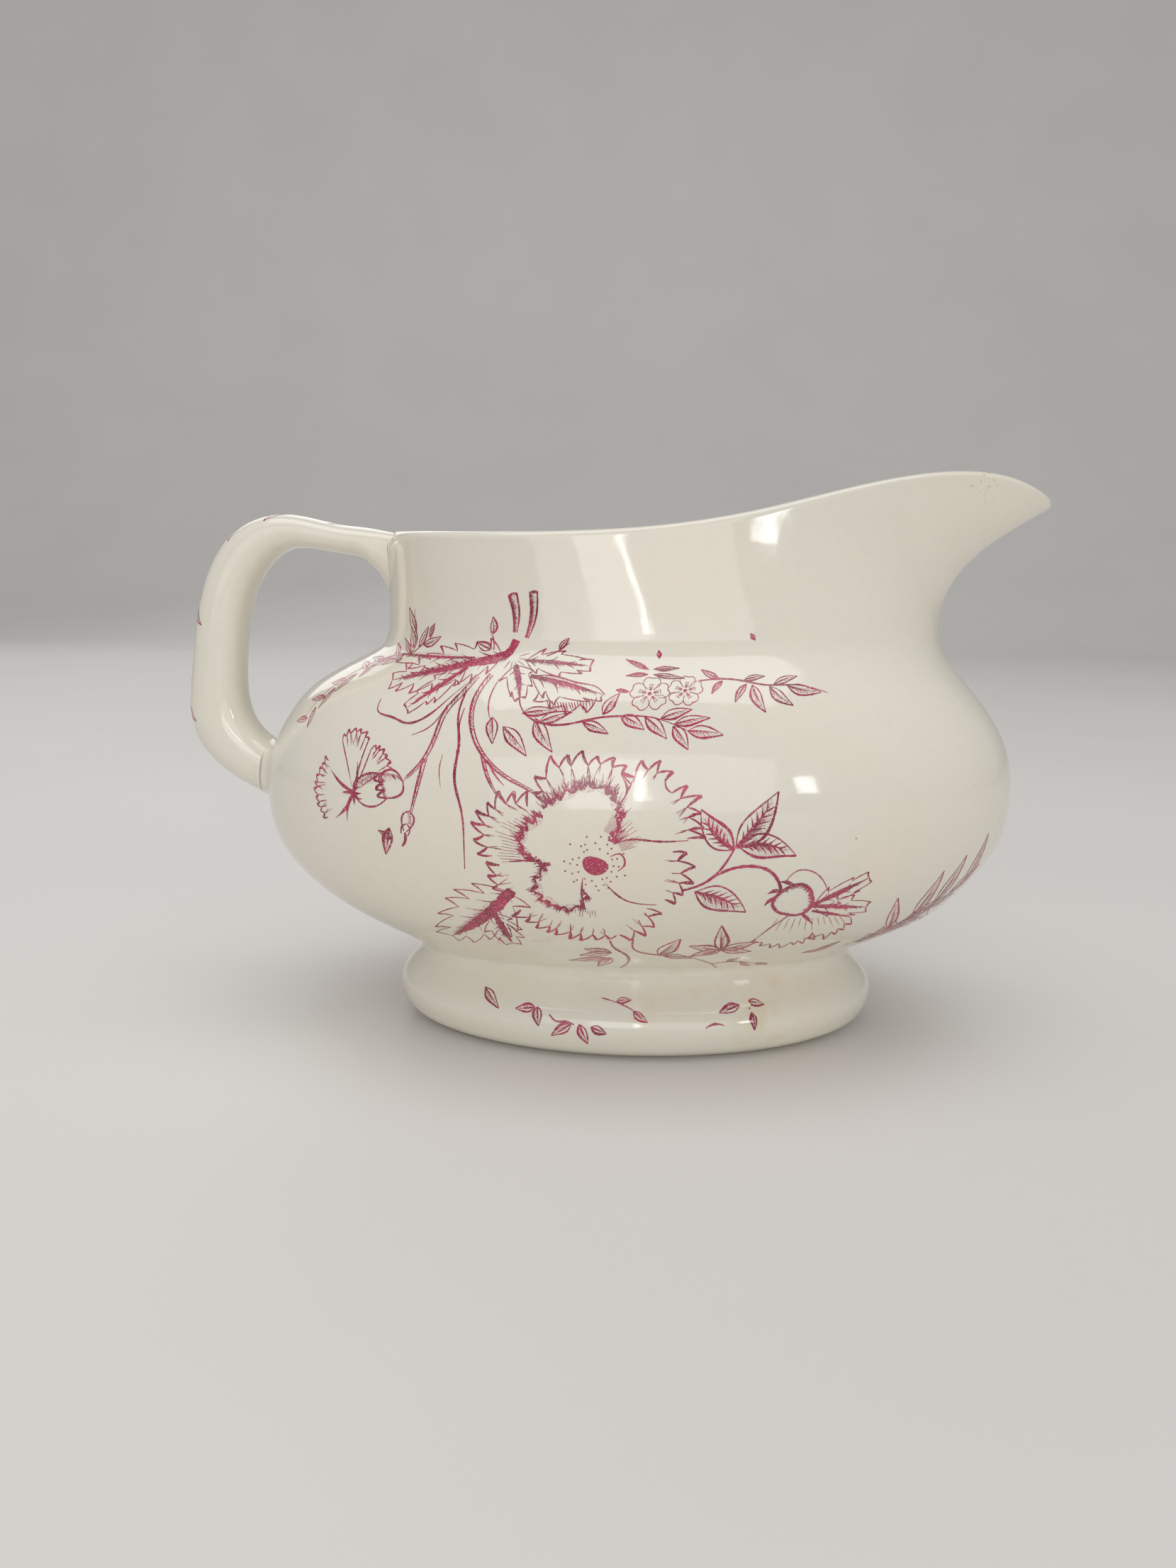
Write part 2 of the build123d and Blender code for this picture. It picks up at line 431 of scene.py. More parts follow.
def handle_rings():
    """Sections from inside the neck's panel to inside the belly's wall."""
    rings = []
    for depth, top_drop, under_drop in ((1.3, 2.0, 3.0), (1.0, 1.0, 2.2), (0.6, 0.3, 1.2)):
        ring = neck_end(handle_ring(0.0), 0.0, depth)
        height = (ring[:, 2] - ring[:, 2].mean()) / np.ptp(ring[:, 2]) * 2
        ring[:, 2] -= np.where(height > 0, top_drop, 0) + np.maximum(-height, 0) * under_drop
        rings.append(ring)
    return rings + [neck_end(handle_ring(run), run) for run in np.linspace(0, HANDLE_RUN[-1], HANDLE_LEVELS)]


# ---------- panel on the neck ----------


def panel_mesh():
    """The raised field: its face stands proud with a soft edge, and its back is inside the wall."""
    across, down, sunk = 90, 70, 0.35
    spread = np.linspace(-0.62, 0.62, across)
    heights = np.linspace(PANEL_BOTTOM_Z - 1.5, PANEL_TOP_Z + 0.6, down)
    angle, z = np.meshgrid(np.pi + spread, heights)
    surface, normal = bowl_point(angle, z), bowl_normal(angle, z)
    half_height = (PANEL_TOP_Z - PANEL_BOTTOM_Z) / 2
    side = np.abs(surface[..., 1]) - (PANEL_HALF_WIDTH - PANEL_CORNER)
    level = np.abs(z - (PANEL_BOTTOM_Z + half_height)) - (half_height - PANEL_CORNER)
    outside = np.hypot(np.maximum(side, 0), np.maximum(level, 0)) + np.minimum(np.maximum(side, level), 0)
    inside = PANEL_CORNER - outside
    share = ease(-0.5, 1.6, inside) * ease(PANEL_BOTTOM_Z - 1, PANEL_BOTTOM_Z + 4, z)
    proud = -sunk + (PANEL_PROUD + sunk) * share
    face = surface + normal * proud[..., None]
    back = surface - normal * 0.8
    points = np.concatenate([face.reshape(-1, 3), back.reshape(-1, 3)])
    faces = []
    shift = across * down
    for r in range(down - 1):
        for c in range(across - 1):
            a, b = r * across + c, (r + 1) * across + c
            faces.append((a, b, b + 1, a + 1))
            faces.append((shift + a, shift + a + 1, shift + b + 1, shift + b))
    for a in range(across - 1):
        faces.append((a, a + 1, shift + a + 1, shift + a))
        b = (down - 1) * across + a
        faces.append((b + 1, b, shift + b, shift + b + 1))
    for r in range(down - 1):
        a, b = r * across, (r + 1) * across
        faces.append((b, a, shift + a, shift + b))
        a, b = a + across - 1, b + across - 1
        faces.append((a, b, shift + b, shift + a))
    return points, faces


# ---------- fired slip in the joints ----------

FILLET_STEPS = 7
FILLET_SINK = 0.25       # how far its hidden edge lies under the surface


def fillet_mesh(lines, tree, radius):
    """A smooth hollow fillet where lines, each running from outside inwards, enter tree's surface.
    Where some lines miss the surface, the fillet is a strip that leaves them out."""
    hits = []
    for line in lines:
        hits.append(None)
        for a, b in zip(line[:-1], line[1:]):
            way = Vector(b - a)
            place, normal, _, _ = tree.ray_cast(Vector(a), way.normalized(), way.length)
            if place is not None:
                hits[-1] = (np.array(place), np.array(normal), np.array(-way.normalized()))
                break
    whole = all(hit is not None for hit in hits)
    if not whole:
        gap = max(k for k, hit in enumerate(hits) if hit is None and hits[(k + 1) % len(hits)] is not None)
        hits = [hit for hit in hits[gap + 1 :] + hits[: gap + 1] if hit is not None]
    centre = np.mean([place for place, _, _ in hits], 0)
    rings = [[] for _ in range(FILLET_STEPS + 1)]
    for place, normal, back in hits:
        away = place - centre
        away -= normal * np.dot(away, normal)
        away /= np.linalg.norm(away)
        on_line = place + back * radius
        on_tree = np.array(tree.find_nearest(Vector(place + away * radius))[0])
        for i in range(FILLET_STEPS):
            t = i / (FILLET_STEPS - 1)
            rings[i].append((1 - t) ** 2 * on_line + 2 * t * (1 - t) * place + t * t * on_tree)
        rings[FILLET_STEPS].append(place - normal * FILLET_SINK)
    faces = ring_faces(FILLET_STEPS + 1, len(hits), closed=True)
    if not whole:
        last = len(hits) - 1
        faces = [face for k, face in enumerate(faces) if k % len(hits) != last]
    return np.concatenate([np.array(ring) for ring in rings]), faces


# ---------- materials ----------

IVORY = (0.80, 0.75, 0.635, 1)
IVORY_WARM = (0.81, 0.73, 0.60, 1)
IVORY_COOL = (0.76, 0.74, 0.635, 1)
CRIMSON = (0.45, 0.028, 0.092, 1)
CRIMSON_DEEP = (0.23, 0.010, 0.045, 1)
CRIMSON_FAINT = (0.60, 0.15, 0.21, 1)
BARE_CLAY = (0.70, 0.60, 0.45, 1)
STAIN = (0.70, 0.60, 0.33, 1)
GLAZE_MOTTLE = (0.66, 0.62, 0.53, 1)
IRON_SPECK = (0.22, 0.15, 0.10, 1)
WORN_BODY = (0.36, 0.24, 0.13, 1)
SLIP_POOL = (0.70, 0.65, 0.52, 1)

LIP_WEAR = (0.080, -0.012, 0.129)     # where the rim of the lip is worn, in metres


class Nodes:
    """Short calls for building one material's nodes."""

    def __init__(self, name):
        self.material = bpy.data.materials.new(name)
        self.material.use_nodes = True
        self.tree = self.material.node_tree
        self.shader = self.tree.nodes["Principled BSDF"]
        self.place = self.add("ShaderNodeNewGeometry").outputs["Position"]

    def add(self, kind, **settings):
        """A new node, with its own settings."""
        node = self.tree.nodes.new(kind)
        for key, value in settings.items():
            setattr(node, key, value)
        return node

    def join(self, source, target):
        """Link an output to an input."""
        self.tree.links.new(source, target)

    def noise(self, scale, detail, roughness=0.5):
        """Cloudy noise that lies still on the piece."""
        node = self.add("ShaderNodeTexNoise")
        node.inputs["Scale"].default_value = scale
        node.inputs["Detail"].default_value = detail
        node.inputs["Roughness"].default_value = roughness
        self.join(self.place, node.inputs["Vector"])
        return node.outputs["Fac"]

    def cells(self, scale, output):
        """Cells of one size, for specks."""
        node = self.add("ShaderNodeTexVoronoi")
        node.inputs["Scale"].default_value = scale
        self.join(self.place, node.inputs["Vector"])
        return node.outputs[output]

    def remap(self, source, low, high, to_low=0.0, to_high=1.0):
        """A smooth step between two levels of a value."""
        node = self.add("ShaderNodeMapRange", interpolation_type="SMOOTHSTEP")
        for key, value in (("From Min", low), ("From Max", high), ("To Min", to_low), ("To Max", to_high)):
            node.inputs[key].default_value = value
        self.join(source, node.inputs["Value"])
        return node.outputs["Result"]

    def maths(self, operation, a, b):
        """One operation on two values, either of them a number or an output."""
        node = self.add("ShaderNodeMath", operation=operation)
        for socket, value in zip(node.inputs, (a, b)):
            if isinstance(value, (int, float)):
                socket.default_value = value
            else:
                self.join(value, socket)
        return node.outputs[0]

    def mix(self, share, a, b):
        """One colour over another, by a share."""
        node = self.add("ShaderNodeMix", data_type="RGBA")
        for socket, value in ((node.inputs[0], share), (node.inputs[6], a), (node.inputs[7], b)):
            if isinstance(value, (tuple, float)):
                socket.default_value = value
            else:
                self.join(value, socket)
        return node.outputs[2]

    def bump(self, *layers):
        """Stacks height layers of (source, height in metres)."""
        last = None
        for source, height in layers:
            node = self.add("ShaderNodeBump")
            node.inputs["Distance"].default_value = height
            if last is not None:
                self.join(last, node.inputs["Normal"])
            self.join(source, node.inputs["Height"])
            last = node.outputs["Normal"]
        self.join(last, self.shader.inputs["Normal"])


def glaze_colour(nodes):
    """Ivory glaze: broad warm and cool drifts, fine mottling and a few iron specks."""
    drift = nodes.remap(nodes.noise(16, 2), 0.35, 0.7)
    colour = nodes.mix(drift, IVORY, IVORY_COOL)
    warm = nodes.remap(nodes.noise(31, 3), 0.45, 0.75, 0.0, 0.8)
    colour = nodes.mix(warm, colour, IVORY_WARM)
    mottle = nodes.remap(nodes.noise(520, 2), 0.3, 0.7, 0.0, 0.10)
    colour = nodes.mix(mottle, colour, GLAZE_MOTTLE)
    pick = nodes.remap(nodes.cells(70, "Color"), 0.62, 0.66)
    spot = nodes.remap(nodes.cells(70, "Distance"), 0.022, 0.010)
    speck = nodes.maths("MULTIPLY", nodes.maths("MULTIPLY", pick, spot), 0.7)
    return nodes.mix(speck, colour, IRON_SPECK)


def glaze_gloss(nodes):
    """The wet-looking surface of a fired glaze, with the slight ripple it sets with."""
    shader = nodes.shader
    nodes.join(nodes.remap(nodes.noise(60, 3), 0.3, 0.7, 0.06, 0.12), shader.inputs["Roughness"])
    shader.inputs["IOR"].default_value = 1.52
    shader.inputs["Coat Weight"].default_value = 0.35
    shader.inputs["Coat Roughness"].default_value = 0.03
    nodes.bump((nodes.noise(70, 2), 0.00022), (nodes.noise(420, 2), 0.000012))


def near(nodes, place, reach):
    """1 at a place in metres, fading to 0 at a distance of reach."""
    gap = nodes.add("ShaderNodeVectorMath", operation="DISTANCE")
    nodes.join(nodes.place, gap.inputs[0])
    gap.inputs[1].default_value = place
    return nodes.remap(gap.outputs["Value"], reach, 0.0)


def ivory_glaze(stained=False):
    """The glazed body, with the lip's wear, and with old stains where asked for."""
    nodes = Nodes("ivory_glaze_stained" if stained else "ivory_glaze")
    colour = glaze_colour(nodes)
    chips = nodes.remap(nodes.noise(900, 4, 0.65), 0.60, 0.66)
    worn = nodes.maths("MULTIPLY", chips, near(nodes, LIP_WEAR, 0.009))
    colour = nodes.mix(worn, colour, WORN_BODY)
    if stained:
        patch = nodes.remap(nodes.noise(38, 4, 0.6), 0.60, 0.74, 0.0, 0.75)
        colour = nodes.mix(patch, colour, STAIN)
    nodes.join(colour, nodes.shader.inputs["Base Color"])
    glaze_gloss(nodes)
    return nodes.material


def fired_slip():
    """Glaze lying a little thicker and warmer over the slip in a joint."""
    nodes = Nodes("fired_slip")
    pooled = nodes.remap(nodes.noise(200, 3), 0.35, 0.75, 0.15, 0.6)
    colour = nodes.mix(pooled, glaze_colour(nodes), SLIP_POOL)
    nodes.join(colour, nodes.shader.inputs["Base Color"])
    glaze_gloss(nodes)
    return nodes.material


def bare_clay():
    """Unglazed biscuit, rubbed and a little dirty."""
    nodes = Nodes("bare_clay")
    dirt = nodes.remap(nodes.noise(240, 5, 0.7), 0.42, 0.72, 0.0, 0.8)
    colour = nodes.mix(dirt, BARE_CLAY, (0.38, 0.29, 0.20, 1))
    nodes.join(colour, nodes.shader.inputs["Base Color"])
    nodes.join(nodes.remap(nodes.noise(150, 2), 0.3, 0.7, 0.62, 0.85), nodes.shader.inputs["Roughness"])
    nodes.bump((nodes.noise(1400, 3, 0.7), 0.00004))
    return nodes.material


def printed(name, low, high):
    """Transfer ink under the glaze. Ink covers the ivory where fine noise lies between low and high."""
    nodes = Nodes(name)
    ink = nodes.mix(nodes.remap(nodes.noise(130, 3), 0.35, 0.68), CRIMSON, CRIMSON_DEEP)
    ink = nodes.mix(nodes.remap(nodes.noise(900, 2), 0.5, 0.75, 0.0, 0.45), ink, CRIMSON_FAINT)
    cover = nodes.remap(nodes.noise(3600, 2, 0.6), low, high)
    colour = nodes.mix(cover, glaze_colour(nodes), ink)
    nodes.join(colour, nodes.shader.inputs["Base Color"])
    glaze_gloss(nodes)
    return nodes.material


GLAZE = ivory_glaze()
STAINED_GLAZE = ivory_glaze(stained=True)
SLIP = fired_slip()
CLAY = bare_clay()


# ---------- the jug ----------

bowl_points, bowl_faces = capped(bowl_rings(), ROUND)
make_piece("bowl_glazed", bowl_points, bowl_faces, GLAZE, ["bowl"])
BOWL_TREE = tree_of(bowl_points, bowl_faces)

foot_angles = np.linspace(0, 2 * np.pi, FOOT_ROUND, endpoint=False)
rings = foot_rings(foot_angles)
foot_faces = ring_faces(len(rings), FOOT_ROUND, closed=True)
make_piece("foot_ring_glazed", np.concatenate(rings), foot_faces, STAINED_GLAZE, ["foot_ring"])
rings = bare_edge_rings(foot_angles)
edge_faces = ring_faces(len(rings), FOOT_ROUND, closed=True)
make_piece("foot_bare_edge", np.concatenate(rings), edge_faces, CLAY)

handle_points, handle_faces = capped(handle_rings(), HANDLE_ROUND)
make_piece("handle_glazed", handle_points, handle_faces, GLAZE, ["handle"])
panel_points, panel_faces = panel_mesh()
make_piece("handle_panel_glazed", panel_points, panel_faces, GLAZE, ["handle_panel"])

foot_lines = np.stack([foot_point(foot_angles, z) for z in np.linspace(9.0, 20.0, 34)], 1)
points, faces = fillet_mesh(foot_lines, BOWL_TREE, 1.5)
make_piece("foot_slip_fillet", points, faces, SLIP, ["foot_slip_joint"])

handle_lines = np.array(handle_rings())
points, faces = fillet_mesh(handle_lines[-60:].transpose(1, 0, 2), BOWL_TREE, 2.4)
make_piece("handle_lower_slip_fillet", points, faces, SLIP, ["handle_lower_slip_joint"])
neck_lines = handle_lines[24::-1].transpose(1, 0, 2)
points, faces = fillet_mesh(neck_lines, tree_of(panel_points, panel_faces), 0.5)
make_piece("handle_upper_slip_fillet", points, faces, SLIP, ["handle_upper_slip_joint"])


# ---------- printed decoration ----------
#
# The print is drawn on a sheet in millimetres: u runs round the bowl towards the lip, from the
# middle of its side, and v runs up the side from the foot. The sheet is then laid on the surface.

INK_LIFT = 0.035
TINT_LIFT = 0.020
INK = printed("crimson_ink", 0.26, 0.42)
TINT = printed("crimson_tint", 0.36, 0.92)

SHEET_TOP_Z = 131.0
BELLY_FOOT_Z = 18.5      # the height where v is 0
SIDE_Z = np.linspace(BASE_Z, SHEET_TOP_Z, 1200)
SIDE_V = run_along(np.stack([SIDE_Z, half_width(SIDE_Z)], 1))
SIDE_V -= np.interp(BELLY_FOOT_Z, SIDE_Z, SIDE_V)

LEVEL_STEP = 0.5
LEVELS = np.arange(BASE_Z, SHEET_TOP_Z + LEVEL_STEP, LEVEL_STEP)
REACH = np.arange(-225.0, 226.0)
TURNS = np.linspace(-1.5 * np.pi, 0.5 * np.pi, 721)     # one whole turn, with the -Y side in the middle


def run_round(points):
    """Distance along points at TURNS, from the middle of the -Y side."""
    run = run_along(points[:, :2])
    return run - run[len(run) // 2]


def angles_round_bowl():
    """For each level, the angle of each distance round the bowl from the middle of the -Y side."""
    return np.array([np.interp(REACH, run_round(bowl_point(TURNS, z)), TURNS) for z in LEVELS])


ANGLE_AT = angles_round_bowl()


def bowl_angles(marks):
    """The angle round the bowl, from the middle of its -Y side, and the height of sheet marks."""
    z = np.interp(marks[:, 1], SIDE_V, SIDE_Z)
    row = np.clip((z - LEVELS[0]) / LEVEL_STEP, 0, len(LEVELS) - 1.001)
    column = np.clip(marks[:, 0] - REACH[0], 0, len(REACH) - 1.001)
    r, c = row.astype(int), column.astype(int)
    down, along = row - r, column - c
    angle = (1 - down) * ((1 - along) * ANGLE_AT[r, c] + along * ANGLE_AT[r, c + 1])
    angle += down * ((1 - along) * ANGLE_AT[r + 1, c] + along * ANGLE_AT[r + 1, c + 1])
    return angle, z


def on_bowl(marks, lift):
    """Sheet marks laid on the bowl, lifted off it."""
    angle, z = bowl_angles(marks)
    return bowl_point(angle, z) + bowl_normal(angle, z) * lift


def on_bowl_back(marks, lift):
    """The same on the bowl's other side, with u running towards the handle."""
    angle, z = bowl_angles(marks * (-1, 1))
    return bowl_point(-angle, z) + bowl_normal(-angle, z) * lift


FOOT_Z = np.linspace(0, 17, 200)
FOOT_V = run_along(np.stack([FOOT_Z, foot_width(FOOT_Z)], 1))


def on_foot(marks, lift, start=0.0):
    """Sheet marks laid round the foot from the middle of its -Y side, with v up its profile."""
    z = np.interp(marks[:, 1], FOOT_V, FOOT_Z)
    turn = np.interp(marks[:, 0], run_round(foot_point(TURNS, FOOT_GIRTH_Z)), TURNS) + start
    point = foot_point(turn, z)
    across = foot_point(turn + 1e-4, z) - foot_point(turn - 1e-4, z)
    up = foot_point(turn, z + 1e-3) - foot_point(turn, z - 1e-3)
    normal = np.cross(across, up)
    return point + normal / np.linalg.norm(normal, axis=1, keepdims=True) * lift


def on_handle(marks, lift):
    """Sheet marks laid on the handle's back, with u across it and v along it from the neck."""
    points = []
    for u, v in marks:
        ring = handle_ring(v)
        middle = ring.mean(0)
        outer = ring[: HANDLE_ROUND // 2]
        outer = outer[np.argsort(outer[:, 1])]
        point = np.array([np.interp(u, outer[:, 1], outer[:, k]) for k in range(3)])
        away = point - middle
        away[1] *= 0.35
        points.append(point + away / np.linalg.norm(away) * lift)
    return np.array(points)


def turned(vector, degrees):
    """A vector turned anticlockwise."""
    (x, y), cos, sin = vector, math.cos(math.radians(degrees)), math.sin(math.radians(degrees))
    return np.array([x * cos - y * sin, x * sin + y * cos])


def polar(centre, radius, degrees):
    """The point at a distance from a centre in a direction."""
    return np.asarray(centre, float) + turned((radius, 0), degrees)


class Sheet:
    """A drawing in ink lines and tinted areas, as flat strips and patches."""

    def __init__(self, seed):
        self.random = np.random.default_rng(seed)
        self.points = {"ink": [], "tint": []}
        self.faces = {"ink": [], "tint": []}
        self.count = {"ink": 0, "tint": 0}

    def add(self, layer, points, faces):
        """Adds flat faces, whose numbers count from 0, to a layer."""
        start = self.count[layer]
        self.points[layer].append(points)
        self.faces[layer] += [tuple(start + i for i in face) for face in faces]
        self.count[layer] += len(points)

    def path(self, points, step=0.7):
        """An even run of points on a smooth curve through the given ones."""
        points = np.asarray(points, float)
        moved = np.hypot(*np.diff(points, axis=0).T) > 0.01
        points = points[np.concatenate([[True], moved])]
        run = run_along(points)
        count = max(3, int(run[-1] / step) + 1)
        at = np.linspace(0, run[-1], count)
        if len(points) == 2:
            return points[0] + np.outer(at / run[-1], points[1] - points[0])
        return np.stack([smooth_curve(run, points[:, k])(at) for k in range(2)], 1)

    def stroke(self, points, width=0.4, start=0.35, end=0.12, layer="ink", step=0.7):
        """A line that swells in the middle and thins out at its ends."""
        line = self.path(points, step)
        share = np.linspace(0, 1, len(line))
        side = side_ways(line)[1]
        swell = (start + (1 - start) * ease(0, 0.35, share)) * (end + (1 - end) * ease(1, 0.5, share))
        half = 0.5 * width * swell * (1 + 0.12 * self.random.standard_normal(len(line)))
        half = np.maximum(half, 0.04)[:, None]
        points = np.concatenate([line + side * half, line - side * half])
        n = len(line)
        self.add(layer, points, [(i, n + i, n + i + 1, i + 1) for i in range(n - 1)])

    def patch(self, outline, layer="tint", rings=4):
        """A filled shape round the mean of its outline."""
        outline = np.asarray(outline, float)
        ahead = np.roll(outline, -1, axis=0)
        if np.sum(outline[:, 0] * ahead[:, 1] - outline[:, 1] * ahead[:, 0]) < 0:
            outline = outline[::-1]
        outline = self.path(np.vstack([outline, outline[:1]]), 0.8)[:-1]
        middle = outline.mean(0)
        n = len(outline)
        shares = [1 - k / rings for k in range(rings)]
        points = np.concatenate([middle + (outline - middle) * share for share in shares] + [[middle]])
        faces = []
        for k in range(rings - 1):
            for i in range(n):
                j = (i + 1) % n
                faces.append((k * n + i, k * n + j, (k + 1) * n + j, (k + 1) * n + i))
        last = (rings - 1) * n
        faces += [(last + i, last + (i + 1) % n, rings * n) for i in range(n)]
        self.add(layer, points, faces)

    def dot(self, centre, size):
        """A small six-sided spot of ink."""
        ring = [polar(centre, size / 2, degrees) for degrees in range(0, 360, 60)]
        self.add("ink", np.array(ring), [(0, 1, 2, 3, 4, 5)])

    def comb(self, edge, direction, length, spacing=0.45, width=0.16):
        """Fine shading lines of uneven length that run from an edge in a direction."""
        line = self.path(edge, spacing)
        for p in line:
            reach = length * (1 - 0.5 * self.random.random())
            way = np.asarray(direction(p) if callable(direction) else direction, float)
            way = turned(way / np.linalg.norm(way), self.random.normal(0, 5))
            self.stroke([p, p + way * reach], width, 1.0, 0.1, step=1.2)

    def finish(self, name, lay):
        """Makes the pieces, with each layer laid on the surface by lay."""
        for layer, lift, material in (("ink", INK_LIFT, INK), ("tint", TINT_LIFT, TINT)):
            if self.count[layer]:
                marks = np.concatenate(self.points[layer])
                points = lay(marks, lift)
                make_piece(f"{name}_{layer}", points, self.faces[layer], material)


# Motifs. Each takes the sheet, where it goes and its size.


def leaf(sheet, base, tip, width, veins=0, line=0.36, bend=0.0, tint=True):
    """A pointed leaf in outline with a midrib, shaded at its base and down one half."""
    base, tip = np.asarray(base, float), np.asarray(tip, float)
    along = tip - base
    length = np.hypot(*along)
    side = turned(along / length, 90)

    def at(share, reach):
        return base + along * share + side * (reach * width + bend * 4 * share * (1 - share))

    sheet.stroke([at(0, 0), at(0.28, 0.44), at(0.62, 0.36), at(1, 0)], line * 0.8, 0.5, 0.5)
    sheet.stroke([at(0, 0), at(0.34, -0.5), at(0.68, -0.34), at(1, 0)], line * 1.25, 0.5, 0.6)
    sheet.stroke([at(0, 0), at(0.4, 0.03), at(0.82, 0.02)], line * (1.5 if veins else 0.8), 1.0, 0.08)
    for k in range(veins):
        share = 0.12 + 0.66 * k / veins
        reach = 0.34 * math.sin(math.pi * min(share + 0.14, 1))
        for way in (1, -1):
            vein = [at(share, 0), at(share + 0.08, reach * 0.5 * way), at(share + 0.14, reach * way)]
            sheet.stroke(vein, line * 0.75, 1.0, 0.1, step=0.6)
    for share in np.arange(0.05, 0.55, (0.42 if veins else 0.65) / length):
        reach = 0.36 * math.sin(math.pi * min(share + 0.1, 1)) * (0.4 + 0.6 * sheet.random.random())
        shade = [at(share, -0.03), at(share + 0.10, -reach)]
        sheet.stroke(shade, 0.16 if veins else 0.13, 1.0, 0.1, step=1.0)
    if tint:
        sheet.patch([at(0.06, 0), at(0.32, -0.42), at(0.66, -0.28), at(0.84, 0)], rings=3)


def twig(sheet, stem, leaves, width=0.45, leaf_width=0.34, tint=True):
    """A stem with leaves, each at a share of its length, at an angle to it, with a length."""
    line = sheet.path(stem)
    sheet.stroke(stem, width, 0.9, 0.35)
    for share, angle, length in leaves:
        i = min(int(share * (len(line) - 1)), len(line) - 2)
        way = line[i + 1] - line[i]
        way = turned(way / np.hypot(*way), angle)
        leaf(sheet, line[i] + way * 0.6, line[i] + way * (length + 0.6), length * leaf_width,
             bend=0.05 * length * np.sign(angle), tint=tint)


def double_stem(sheet, points, width=1.1):
    """A thick stem: two edges with tint and short shading between them."""
    line = sheet.path(points, 0.8)
    side = side_ways(line)[1]
    thin = np.linspace(1, 0.5, len(line))[:, None] * width / 2
    sheet.stroke((line + side * thin)[::2], 0.26, 0.8, 0.5)
    sheet.stroke((line - side * thin)[::2], 0.42, 0.8, 0.5)
    sheet.stroke(line[::2], width * 1.05, 0.95, 0.6, "tint")
    for p, q in zip((line - side * thin * 0.8)[::1], (line + side * thin * 0.3)[1:]):
        if sheet.random.random() < 0.7:
            sheet.stroke([p, q + (q - p) * 0.2], 0.18, 0.9, 0.3, step=0.5)


def teeth(sheet, edge, count, height, width=0.5, lean=0.25, outward=1):
    """A toothed line: sharp teeth of uneven size on the outer side of an edge. Gives back points on the
    teeth, and the notches after the teeth."""
    line = sheet.path(edge, 0.4)
    run = run_along(line)
    marks = np.linspace(0, run[-1], count + 1)
    marks[1:-1] += sheet.random.normal(0, 0.14, count - 1) * run[-1] / count

    def at(distance):
        places = [distance - 0.2, distance, distance + 0.2]
        before, here, after = np.stack([np.interp(places, run, line[:, k]) for k in range(2)], 1)
        way = (after - before) / (np.hypot(*(after - before)) + 1e-9)
        return here, way, turned(way, 90 * outward)

    sides, notches = [], []
    for a, b in zip(marks[:-1], marks[1:]):
        gap = b - a
        tall = height * (0.7 + 0.65 * sheet.random.random())
        start, finish = at(a)[0], at(b)[0]
        reach = gap * (0.5 + lean * (0.6 + 0.8 * sheet.random.random()))
        top, way, out = at(min(a + reach, run[-1] - 0.25))
        tip = top + out * tall
        belly = (start + tip) / 2 - way * gap * 0.07 + out * tall * 0.05
        hollow = (finish + tip) / 2 - way * gap * 0.05 - out * tall * 0.04
        sheet.stroke([start, belly, tip], width * 0.7, 0.45, 0.9, step=0.5)
        sheet.stroke([tip, hollow, finish], width * (0.9 + 0.4 * sheet.random.random()), 1.0, 0.5, step=0.5)
        sides += [start * (1 - s) + tip * s for s in (0.0, 0.25, 0.5, 0.75)]
        sides += [tip * (1 - s) + finish * s for s in (0.0, 0.3, 0.6, 0.85)]
        notches.append(finish)
    return sides, notches


def fine_folds(sheet, centre, notches, length):
    """Fine creases that run in from the notches of a petal's edge."""
    for p in notches[:-1]:
        inward = (centre - p) / np.hypot(*(centre - p))
        for _ in range(3):
            way = turned(inward, sheet.random.normal(0, 10))
            reach = length * (0.4 + 0.8 * sheet.random.random())
            sheet.stroke([p, p + way * reach], 0.15, 0.9, 0.1, step=1.2)


def petal(sheet, centre, inner, outer, middle, spread, count, tooth, sides):
    """A fan petal with a toothed edge. Angles are in degrees."""
    width = 0.46
    angles = np.linspace(middle - spread / 2, middle + spread / 2, 7)
    bulge = 1 - 0.10 * ((angles - middle) / (spread / 2)) ** 2
    edge = [polar(centre, outer * b, a) for a, b in zip(angles[::-1], bulge[::-1])]
    fine_folds(sheet, centre, teeth(sheet, edge, count, tooth, width)[1], outer * 0.2)
    if sides:
        for angle, bow in ((angles[0], 2), (angles[-1], -2)):
            line = [polar(centre, outer * 0.9, angle), polar(centre, (inner + outer) / 2, angle + bow),
                    polar(centre, inner, angle)]
            sheet.stroke(line, width * 0.7, 0.9, 0.1)


# The bloom's toothed edges, clockwise round its middle: points, teeth, height of the teeth.
BLOOM_EDGES = (
    (((-19.5, 0), (-21, 3.5), (-20.5, 7.5), (-17, 10.8), (-12.2, 10.6)), 8, 2.3),
    (((-8.8, 11.5), (-9, 15), (-6.5, 18.3), (-1, 19), (4, 19.2), (6.4, 17.4)), 8, 2.3),
    (((8.4, 15.6), (10, 18), (13, 18.2), (15, 16.4)), 4, 2.6),
    (((16.4, 14), (19, 12), (19.8, 8.5), (19.6, 5)), 5, 3.0),
    (((16.8, 2.2), (18.3, -1), (18.2, -5), (15.6, -9)), 5, 2.9),
    (((12, -11.5), (12.2, -15), (10, -18.5), (6.6, -20.5)), 4, 2.8),
    (((6, -20.6), (0, -20.8), (-6, -19.2), (-11, -16.6), (-14, -13.5)), 9, 2.3),
    (((-16, -10), (-18.6, -6.5), (-18, -2)), 4, 2.2),
)
